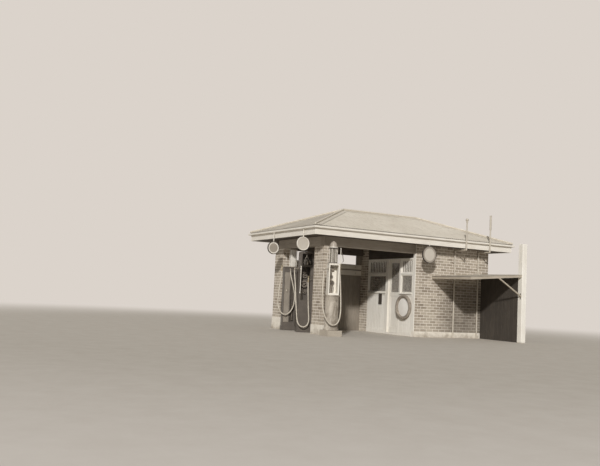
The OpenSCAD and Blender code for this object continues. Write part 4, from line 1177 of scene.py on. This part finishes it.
def outlet(shape, at, reach, way):
    """Elbow from the cabinet down to the hose, with its ferrule and flange."""
    x, y, z = at
    r = HOSE_R
    shape.lathe([(r + 1, 0), (r + 5, 1), (r + 6, 7), (r + 4, 10), (r + 6, 13), (r + 6, 21), (OUTLET_R, 23)],
                at, UP, 24)

    def out(run, rise):
        return (x + way[0] * run, y + way[1] * run, z + rise)

    bend = [out(OUTLET_BEND * (1 - math.cos(t)), OUTLET_RISE - OUTLET_BEND + OUTLET_BEND * math.sin(t))
            for t in quarter(8)]
    shape.tube([(x, y, z + 20)] + bend + [out(reach, OUTLET_RISE)], OUTLET_R, 20)
    foot = Vector(out(reach - ROOT - 10, OUTLET_RISE))
    flange = OUTLET_R + 12
    shape.lathe([(flange - 3, 0), (flange, 3), (flange, 12), (OUTLET_R, 14.5)], foot, (*way, 0), 28)
    side = Vector(UP).cross(Vector((*way, 0)))
    for t in turns(4, 0.5):
        at_bolt = foot + side * (22 * math.cos(t)) + Vector((0, 0, 22 * math.sin(t)))
        bolt(shape, at_bolt, (-way[0], -way[1], 0), 3.5)


def holder(shape, end, edge, way):
    """Ring that the nozzle hangs in, on an arm that ends at the cabinet's edge."""
    x, y, z = end
    z += GRIP_H + 4
    r, t = NECK_R + 12, HOLDER_T
    hole = NECK_R + 0.5
    shape.hoop([(hole, 0), (r - 2, 0), (r, 2), (r, t - 2), (r - 2, t), (hole, t)], (x, y, z), steps=28)
    if way == "x":
        a, b = sorted((x + math.copysign(r - 3, edge - x), edge))
        shape.box((a, y - 10, z + 1), (b, y + 10, z + t - 1), 2)
    else:
        shape.box((x - 10, y + r - 3, z + 1), (x + 10, edge, z + t - 1), 2)


def toothed(shape, x, y, z, radius, depth, teeth):
    """Spoked gear wheel on its shaft; y is its back."""
    rim = radius * 0.78
    hub = radius / 3
    tooth = radius * 0.12
    shape.hoop([(rim, 0), (radius, 0), (radius, depth), (rim, depth)], (x, y, z), STREET, 40)
    shape.lathe([(hub, 0), (hub, depth), (hub * 0.8, depth + 4), (hub * 0.55, depth + 18),
                 (hub * 0.1, depth + 18)], (x, y, z), STREET, 20)
    for t in turns(teeth):
        u = Vector((math.cos(t), 0, math.sin(t)))
        v = Vector((-math.sin(t), 0, math.cos(t)))
        ends = ((radius - 4, tooth), (radius * 1.22, tooth * 0.6))
        shape.add([Vector((x, y - front, z)) + u * reach + v * (half * s)
                   for front in (4, depth - 4) for reach, half in ends for s in (-1, 1)], CUBE)
    for t in turns(5):
        u = Vector((math.cos(t + 0.3), 0, math.sin(t + 0.3)))
        middle = Vector((x, y - depth / 2, z))
        shape.rod(middle + u * (hub * 0.8), middle + u * (rim * 1.02), depth * 0.18, 8)


def cabinet(shape, w, d, z0, z1, holes, bevel=6):
    """A sheet-metal cabinet; holes are (x0, x1, z0, z1, depth) openings in its front, from the foot up."""
    deep = max(h[4] for h in holes)
    front, back = -d / 2, d / 2
    middle = front + deep
    joint = middle + 10
    shape.box((-w / 2, middle, z0), (w / 2, back, z1), bevel)
    at = z0
    for x0, x1, low, high, depth in holes:
        shape.box((-w / 2, front, at), (w / 2, joint, low), bevel)
        for a, b in ((-w / 2, x0), (x1, w / 2)):
            shape.box((a, front, low - 10), (b, joint, high + 10), bevel)
        if depth < deep:
            shape.box((x0 - 10, front + depth, low - 10), (x1 + 10, joint, high + 10), 1)
        at = high
    shape.box((-w / 2, front, at), (w / 2, joint, z1), bevel)


def edge_bead(shape, x0, x1, z0, z1, y, size=6):
    """A rolled bead round an opening."""
    corners = [(x0, y, z0), (x1, y, z0), (x1, y, z1), (x0, y, z1)]
    for i in range(4):
        shape.rod(corners[i], corners[(i + 1) % 4], size, 10)


def louvres(shape, x0, x1, z0, y, count):
    for k in range(count):
        z = z0 + k * 28
        shape.add([(x0, y, z), (x1, y, z), (x1, y, z + 16), (x0, y, z + 16), (x0 + 6, y - 7, z + 2),
                   (x1 - 6, y - 7, z + 2)], [(0, 4, 5, 1), (4, 3, 2, 5), (0, 3, 4), (1, 5, 2), (0, 1, 2, 3)])


def measure(name, x, z0, z1, look):
    """Glass measure with its flanges, guard rods, gauge tube and level marks."""
    rod_r, glass_r, rim_r, rim_h = 112, 98, 126, 30
    low, high = z0 + rim_h - 4, z1 - rim_h + 4
    glass = pump_shape(name)
    glass.hoop([(glass_r, low), (glass_r, high), (glass_r - 5, high), (glass_r - 5, low)],
               (x, 0, 0), steps=56)
    glass.make(name + "_measure_glass", name + "_glass", "glass", True, name + "_pump_measure")
    rims = pump_shape(name)
    rods = pump_shape(name)
    for z, way in ((z0, 1), (z1, -1)):
        rims.lathe([(20, 0), (rim_r - 4, 0), (rim_r, 4), (rim_r, 13), (rim_r - 3, 16), (rim_r - 8, 18),
                    (rim_r - 12, rim_h), (glass_r - 6, rim_h), (glass_r - 12, rim_h - 6), (20, rim_h - 6)],
                   (x, 0, z), (0, 0, way), 56)
        for t in turns(6):
            at = (x + rod_r * math.cos(t), rod_r * math.sin(t), z + way * rim_h * 0.62)
            rims.lathe([(11, 0), (11, 8), (9, 12), (4, 12)], at, (0, 0, way), 6)
    rims.make(name + "_measure_rims", look, "dark_metal", True)
    for t in turns(6):
        a, b = x + rod_r * math.cos(t), rod_r * math.sin(t)
        rods.rod((a, b, z0 + 4), (a, b, z1 - 4), 7, 12)
    rods.make(name + "_measure_rods", "white_metal", "white_metal", True)
    inner = pump_shape(name)
    inner.rod((x, 0, z0 + 20), (x, 0, z1 - 70), 14, 16)
    inner.lathe([(30, 0), (34, 4), (34, 12), (16, 30)], (x, 0, z0 + 22), UP, 24)
    inner.lathe([(14, 0), (24, 6), (24, 18), (0, 24)], (x, 0, z1 - 90), UP, 20)
    inner.rod((x + 48, -30, z0 + 20), (x + 48, -30, z1 - 20), 5, 10)
    for k in range(int((z1 - z0 - 120) / 50)):
        z = z0 + 70 + k * 50
        inner.box((x + 30, -34, z), (x + 66, -31, z + 6), 1)
    inner.make(name + "_measure_gauge", "white_metal", "white_metal", True)


def make_rear_pump():
    name = "rear"
    half, deep, top = 200, 170, PUMPS[name][2]
    front = -deep
    low, high = PLINTH + 120, top - 130
    hole = (20, half - 25, low, high, 70)

    def slab(shape, over, z0, z1, bevel):
        shape.box((-half - over, front - over, z0), (half + over, deep + over, z1), bevel)

    shell = pump_shape(name)
    slab(shell, 15, 0, PLINTH, 10)
    cabinet(shell, 2 * half, 2 * deep, PLINTH - 5, top + 2, [hole])
    slab(shell, CAP_OVER, top, top + CAP_SLAB, 12)
    slab(shell, 6, top - 30, top, 4)
    edge_bead(shell, *hole[:4], front, 5)
    shell.make("rear_pump_shell", "pump_dark", "dark_metal", False, "rear_pump")
    door = pump_shape(name)
    x0, x1, face, bead = -half + 25, -10, front - 8, 22
    door.box((x0, face, low), (x1, front + 1, high), 4)
    for a, b in ((low + bead, low + 620), (low + 660, high - bead)):
        edge_bead(door, x0 + bead, x1 - bead, a, b, face, 3)
    for z, count in ((low + 100, 7), (high - 260, 6)):
        louvres(door, x0 + 45, x1 - 45, z, face, count)
    for z in (low + 120, low + 800, high - 140):
        door.rod((x0 - 4, front - 4, z), (x0 - 4, front - 4, z + 70), 6, 10)
    door.make("rear_pump_door", "pump_door", "dark_metal")
    fittings = pump_shape(name)
    handle_x, handle_z = -95, top - 700
    fittings.lathe([(30, 0), (30, 6), (20, 12), (14, 14), (14, 34), (10, 36)],
                   (handle_x, front - 6, handle_z), STREET, 24)
    grip = [(handle_x, front - 37, handle_z + up) for up in (-55, -30, 0, 30, 55)]
    fittings.tube(grip, [9, 7, 10, 7, 9], 14)
    start = hose_end(name, 0)
    outlet(fittings, start, front - start[1] + ROOT, (0, 1))
    holder(fittings, hose_end(name, -1), -half + ROOT, "x")
    for k in range(9):
        for x in (half - 12, -half + 11):
            bolt(fittings, (x, front, PLINTH + 180 + k * 170), STREET, 4.5)
    fittings.make("rear_pump_fittings", "steel", "grey_metal", True)
    works = pump_shape(name)
    y = front + 68
    works.lathe([(40, 0), (44, 10), (44, 30), (36, 40), (36, 460), (44, 470), (44, 500), (20, 520)],
                (98, y - 10, low + 50), UP, 28)
    works.rod((98, y - 20, low + 500), (98, y - 20, high + 10), 11)
    works.rod((55, y - 12, low - 10), (55, y - 12, high + 10), 8)
    for z in (low + 720, low + 1000, low + 1280):
        works.box((30, y - 30, z), (150, y + 4, z + 28), 4)
    toothed(works, 110, y + 2, low + 860, 40, 24, 12)
    works.make("rear_pump_works", "grey_metal", "grey_metal", True)
    measure(name, 80, top + CAP_SLAB, 2520, "pump_mid")


def make_middle_pump():
    name = "middle"
    half, deep, top = 210, 200, PUMPS[name][2]
    front = -deep
    z0, z1 = 950, 1950
    works_hole = (-half + 50, half - 105, z0, z1, 300)
    top_hole = (-half + 50, half - 50, z1 + 60, top - 50, 300)
    shell = pump_shape(name)
    shell.box((-half - 10, front - 10, 0), (half + 10, deep + 10, PLINTH), 8)
    cabinet(shell, 2 * half, 2 * deep, PLINTH - 5, top, [works_hole, top_hole])
    for hole in (works_hole, top_hole):
        edge_bead(shell, *hole[:4], front, 5)
    panel_z0, panel_z1 = PLINTH + 50, z0 - 60
    for side, end, size in ((45, 0, 4.5), (65, 20, 3)):
        edge_bead(shell, side - half, half - side, panel_z0 + end, panel_z1 - end, front, size)
    louvres(shell, -110, 110, panel_z1 - 300, front, 8)
    shell.make("middle_pump_shell", "pump_dark", "dark_metal", False, "middle_pump")
    works = pump_shape(name)
    x, y = 150 - half, deep - 100
    bx, by = x - 38, y - 62
    works.lathe([(45, 0), (50, 6), (50, 22), (42, 30), (42, 300), (45, 310), (45, 330), (58, 332), (58, 353),
                 (40, 355), (22, 370), (12, 385)], (bx, by, z0), UP, 32)
    works.rod((bx, by, z0 + 370), (bx, by, z1), 12)
    for t in turns(6):
        bolt(works, (bx + 50 * math.cos(t), by + 50 * math.sin(t), z0 + 353), UP, 5)
    wheels = ((60, 260, 55, 60, 16), (30, 490, 88, 110, 22), (45, 740, 66, 70, 18))
    for dx, dz, radius, depth, teeth in wheels:
        toothed(works, x + dx, y, z0 + dz, radius, depth, teeth)
    works.box((x - 90, y - 110, z1 - 170), (x + 100, y, z1 - 145), 4)
    works.tube([(x + 80, y - 60, z1 - 150), (x + 85, y - 75, z1 - 90), (x + 50, y - 90, z1 - 30),
                (x + 20, y - 90, z1)], 9, 12)
    works.make("middle_pump_gears", "works_metal", "grey_metal", True, "middle_pump_works")
    braces = pump_shape(name)
    a0, a1 = top_hole[2:4]
    braces.rod((-150, front + 60, a0), (20, front + 50, a1), 8, 10)
    braces.rod((150, front + 80, a0), (-50, front + 70, a1), 8, 10)
    braces.lathe([(50, 0), (56, 8), (56, 100), (30, 140), (12, 160)], (30, front + 150, a0), UP, 28)
    braces.make("middle_pump_braces", "steel", "grey_metal", True)
    rods = pump_shape(name)
    lever_x, lever_y = 25 - half, front - 22
    rods.rod((lever_x, lever_y, z0 + 200), (lever_x, lever_y, z1), 11)
    for z in (z0 + 230, z1 - 60):
        rods.rod((lever_x, lever_y, z), (lever_x, front + ROOT, z), 9)
        rods.lathe([(19, 0), (19, 4), (10, 7)], (lever_x, front, z), STREET, 20)
    knob = [(4, -22), (13, -18), (20, -9), (22, 0), (20, 9), (13, 18), (4, 22)]
    rods.lathe(knob, (lever_x, lever_y, z1), UP, 24)
    bar_x, bar_y, bend = half + 12, front + 60, 20
    low_bar, high_bar = z1 - 250, top - 70
    bar = [(half - ROOT, bar_y, low_bar)]
    bar += [(bar_x + bend * math.sin(t), bar_y, low_bar + bend - bend * math.cos(t)) for t in quarter(6)]
    bar += [(bar_x + bend * math.cos(t), bar_y, high_bar - bend + bend * math.sin(t)) for t in quarter(6)]
    rods.tube(bar + [(half - ROOT, bar_y, high_bar)], 12, 16)
    for z in (low_bar, high_bar):
        rods.lathe([(22, 0), (22, 5), (13, 9)], (half, bar_y, z), (1, 0, 0), 20)
    rods.make("middle_pump_rods", "white_metal", "white_metal", True)
    fittings = pump_shape(name)
    start = hose_end(name, 0)
    x, y, z = end = hose_end(name, -1)
    outlet(fittings, start, -half - start[0] + ROOT, (1, 0))
    holder(fittings, end, front + ROOT, "y")
    hook_x = half - 105 / 2
    arm_z0, arm_z1 = z + GRIP_H + 5, z + GRIP_H + 15
    fittings.box((x, y - 10, arm_z0), (hook_x + 12, y + 10, arm_z1), 2)
    fittings.box((hook_x - 12, y, arm_z0), (hook_x + 12, front + ROOT, arm_z1), 2)
    for k in range(10):
        bolt(fittings, (half - 16, front, PLINTH + 60 + k * 240), STREET, 4.5)
    fittings.make("middle_pump_fittings", "steel", "grey_metal", True)


def make_front_hatch(name, r, look, slot):
    """A curved inspection plate, a little proud of the body."""
    start, end = math.radians(-124), math.radians(-56)
    steps = 18
    n = steps + 1
    angles = [start + (end - start) * s / steps for s in range(n)]
    faces = [(0, 2 * n, 3 * n, n), (n - 1, 2 * n - 1, 4 * n - 1, 3 * n - 1)]
    for s in range(steps):
        faces += [(2 * n + s, 2 * n + s + 1, 3 * n + s + 1, 3 * n + s), (s, n + s, n + s + 1, s + 1),
                  (s, s + 1, 2 * n + s + 1, 2 * n + s), (n + s, 3 * n + s, 3 * n + s + 1, n + s + 1)]
    hatch = pump_shape(name)
    hatch.add([(a * math.cos(t), a * math.sin(t), z)
               for a in (r - 2, r + 4) for z in (520, 780) for t in angles], faces)
    hatch.make("front_pump_hatch", look, slot, True)


def make_front_pump():
    name = "front"
    half, body_r, out = 155, 192, 218
    foot_h, body_top, case_top, glass_top = 160, 1140, PUMPS[name][2], 2470
    body = pump_shape(name)
    profile = [(20, foot_h), (out - 4, foot_h), (out, foot_h + 6), (out, foot_h + 36), (out - 6, foot_h + 46),
               (body_r + 4, foot_h + 60), (body_r, foot_h + 68)]
    for z in (480, 820):
        profile += [(body_r, z - 12), (body_r + 5, z - 6), (body_r + 5, z + 6), (body_r, z + 12)]
    profile += [(body_r, body_top - 46), (body_r + 6, body_top - 36), (out - 6, body_top - 28),
                (out, body_top - 20), (out, body_top - 6), (out - 6, body_top), (20, body_top)]
    body.lathe(profile, (0, 0, 0), UP, 72)
    body.make("front_pump_body", "pump_mottled", "light_metal", True, "front_pump")
    make_front_hatch(name, body_r, "pump_mottled", "light_metal")
    shell = pump_shape(name)
    low, high = body_top + 50, case_top - 50
    x0, x1, back = -half + 25, half - 40, half - 35
    shell.box((-half, -half, body_top), (half, half, low), 5)
    shell.box((-half, -half, high), (half, half, case_top - 18), 5)
    shell.box((-half, -half, low - 4), (x0, half, high + 4), 4)
    shell.box((x1, -half, low - 4), (half, half, high + 4), 4)
    shell.box((x0 - 4, back, low - 4), (x1 + 4, half, high + 4), 2)
    edge_bead(shell, x0, x1, low, high, -half, 5)
    over = half + CAP_OVER
    shell.box((-over, -over, case_top - 20), (over, over, case_top), 7)
    shell.make("front_pump_case", "white_metal", "white_metal")
    works = pump_shape(name)
    works.lathe([(38, 0), (43, 6), (43, 20), (36, 28), (36, 200), (43, 206), (43, 220), (20, 232), (10, 244)],
                (-55, 10, low), UP, 28)
    works.rod((-55, 10, low + 230), (-55, 10, high), 10)
    toothed(works, -10, back, low + 300, 58, 60, 18)
    toothed(works, -35, back, low + 470, 46, 45, 14)
    works.box((-95, back - 95, high - 150), (25, back, high - 60), 8)
    works.tube([(30, back - 30, low + 20), (35, back - 50, low + 160), (10, back - 75, low + 220),
                (-20, back - 70, low + 260)], 9, 12)
    works.tube([(-80, back - 50, high - 150), (-85, back - 80, high - 240), (-60, back - 90, high - 320)],
               8, 12)
    works.make("front_pump_works", "works_metal", "grey_metal", True)
    fittings = pump_shape(name)
    knob_turn = math.radians(-68)
    way = Vector((math.cos(knob_turn), math.sin(knob_turn), 0))
    at = way * (body_r - 5) + Vector((0, 0, body_top - 140))
    fittings.lathe([(30, 0), (30, 6), (12, 10), (12, 16), (19, 20), (20, 30), (14, 35), (3, 35)], at, way, 28)
    start = hose_end(name, 0)
    outlet(fittings, start, -half - start[0] + ROOT, (1, 0))
    holder(fittings, hose_end(name, -1), half - ROOT, "x")
    for t in turns(12, 0.5):
        bolt(fittings, ((out - 11) * math.cos(t), (out - 11) * math.sin(t), foot_h + 46), UP)
    fittings.make("front_pump_fittings", "steel", "grey_metal", True)
    pipe = pump_shape(name)
    px, py = half + CAP_OVER + 13, -40
    pz0, pz1 = case_top - 130, glass_top
    pipe.rod((px, py, pz0), (px, py, pz1), 10, 16)
    for z in (pz0, pz1):
        pipe.lathe([(3, -12), (8, -9), (12, 0), (8, 9), (3, 12)], (px, py, z), UP, 18)
    for z in (case_top - 100, case_top - 16):
        pipe.box((half - ROOT, py - 8, z), (px, py + 8, z + 12), 2)
    for z in (pz0 + 50, pz1 - 120):
        pipe.lathe([(10, 0), (13, 3), (13, 22), (10, 25)], (px, py, z), UP, 18)
    pipe.make("front_pump_pipe", "white_metal", "white_metal", True)
    hook = pump_shape(name)
    bend = [(0, 320), (35, 300), (60, 240), (70, 160), (85, 100), (75, 50), (50, 45)]
    hook.tube([(px + dx, py, case_top + dz) for dx, dz in bend], [9, 10, 10, 10, 10, 8, 7], 12)
    hook.make("front_pump_hook", "grey_metal", "grey_metal", True)
    x = -25
    measure(name, x, case_top, glass_top, "pump_dark")
    lip = 118
    base = glass_top + 0.1
    rim = pump_shape(name)
    rim.lathe([(20, base), (lip - 3, base), (lip, base + 4), (lip, base + 18), (lip - 4, base + 22)],
              (x, 0, 0), UP, 64)
    rim.make("front_pump_lip", "white_metal", "white_metal", True)
    cap = pump_shape(name)
    rings = [(lip - 18, 22), (lip - 18, 34), (lip - 22, 44), (lip - 20, 80), (lip - 24, 104),
             (lip - 34, 122), (lip - 46, 142), (lip - 58, 156), (lip - 72, 170), (lip - 88, 180),
             (22, 187), (12, 190), (10, 193), (3, 194.8)]
    cap.lathe([(r, base + h - 0.2) for r, h in rings], (x, 0, 0), UP, 64)
    for t in turns(8):
        cap.tube([(x + (r - 1) * math.cos(t), (r - 1) * math.sin(t), base + h - 4)
                  for r, h in rings[3:11]], 4, 8)
    cap.make("front_pump_cap", "dome_metal", "white_metal", True, "front_pump_dome")


make_rear_pump()
make_middle_pump()
make_front_pump()

# Stage and light

SKY = (219, 211, 203)
SUN_ACROSS = 0.60
SUN_BACK = 0.80
SUN_HEIGHT = math.radians(25)
SUN_SPREAD = math.radians(3)
SUN_STRENGTH = 2.75
SKY_STRENGTH = 0.33
FLOOR_R = 180
FADE_FROM = 9
FADE_TO = 26


def make_stage():
    p = Paint("floor_pale")
    sand = p.ramp(p.noise(2.5, 6, 0.7), 0.3, 0.0, 0.7, 1.0)
    p.done(p.mix(sand, (190, 182, 170), (200, 193, 182)), 0.95)
    glow = p.node("Emission", {"Color": SKY})
    far = p.node("VectorMath", {0: p.coords}, operation="LENGTH")
    fade = p.node("MapRange", {"From Min": FADE_FROM, "From Max": FADE_TO, "Value": far.outputs["Value"]},
                  interpolation_type="SMOOTHSTEP")
    both = p.node("MixShader", {0: fade.outputs["Result"], 1: p.shader.outputs["BSDF"],
                                2: glow.outputs["Emission"]})
    p.feed(both.outputs["Shader"], p.nodes["Material Output"].inputs["Surface"])
    mesh = bpy.data.meshes.new("floor")
    edge = [(FLOOR_R * math.cos(t), FLOOR_R * math.sin(t), -0.001) for t in turns(64)]
    mesh.from_pydata(edge, [], [tuple(range(len(edge)))])
    floor = bpy.data.objects.new("floor", mesh)
    floor.data.materials.append(p.material)
    bpy.context.scene.collection.objects.link(floor)


def make_light():
    world = bpy.data.worlds.new("world")
    tree = Tree(world)
    bpy.context.scene.world = world
    soft = tree.nodes["Background"]
    tree.feed((235, 234, 232), soft.inputs["Color"])
    tree.feed(SKY_STRENGTH, soft.inputs["Strength"])
    seen = tree.node("Background", {"Color": SKY})
    rays = tree.node("LightPath", {}).outputs
    shown = tree.calc(rays["Is Camera Ray"], rays["Is Glossy Ray"], "MAXIMUM")
    shown = tree.calc(shown, rays["Is Transmission Ray"], "MAXIMUM")
    both = tree.node("MixShader", {0: shown, 1: soft.outputs["Background"], 2: seen.outputs["Background"]})
    tree.feed(both.outputs["Shader"], tree.nodes["World Output"].inputs["Surface"])
    data = bpy.data.lights.new("key", "SUN")
    data.energy = SUN_STRENGTH
    data.angle = SUN_SPREAD
    data.color = (1.0, 0.985, 0.965)
    key = bpy.data.objects.new("key", data)
    flat = math.cos(SUN_HEIGHT)
    travel = Vector((SUN_ACROSS * flat, SUN_BACK * flat, -math.sin(SUN_HEIGHT)))
    key.rotation_mode = "QUATERNION"
    key.rotation_quaternion = travel.to_track_quat("-Z", "Y")
    bpy.context.scene.collection.objects.link(key)


make_stage()
make_light()
bpy.context.scene.view_settings.view_transform = "Standard"

# Nodes that stay as they are, with their materials

KEPT = {
    "render": ["corner_pier_foot", "side_pier_foot", "wall_band"],
    "concrete": ["office_floor", "front_pump_foot"],
    "white": ["door_frame", "door_leaf"],
    "pale_y": ["lean_to_frame"],
    "iron_front": ["roof_caps"],
    "white_metal": ["gutter"],
    "pipe_metal": ["left_vent_pipe", "right_vent_pipe"],
    "dark_metal": ["door_hinge_pins"],
    "brass": ["door_knobs", "rear_nozzle", "middle_nozzle", "front_nozzle"],
    "glass": ["bay_glass", "door_glass"],
}
for look, names in KEPT.items():
    for name in names:
        NODES[name].data.materials.clear()
        NODES[name].data.materials.append(M[look])
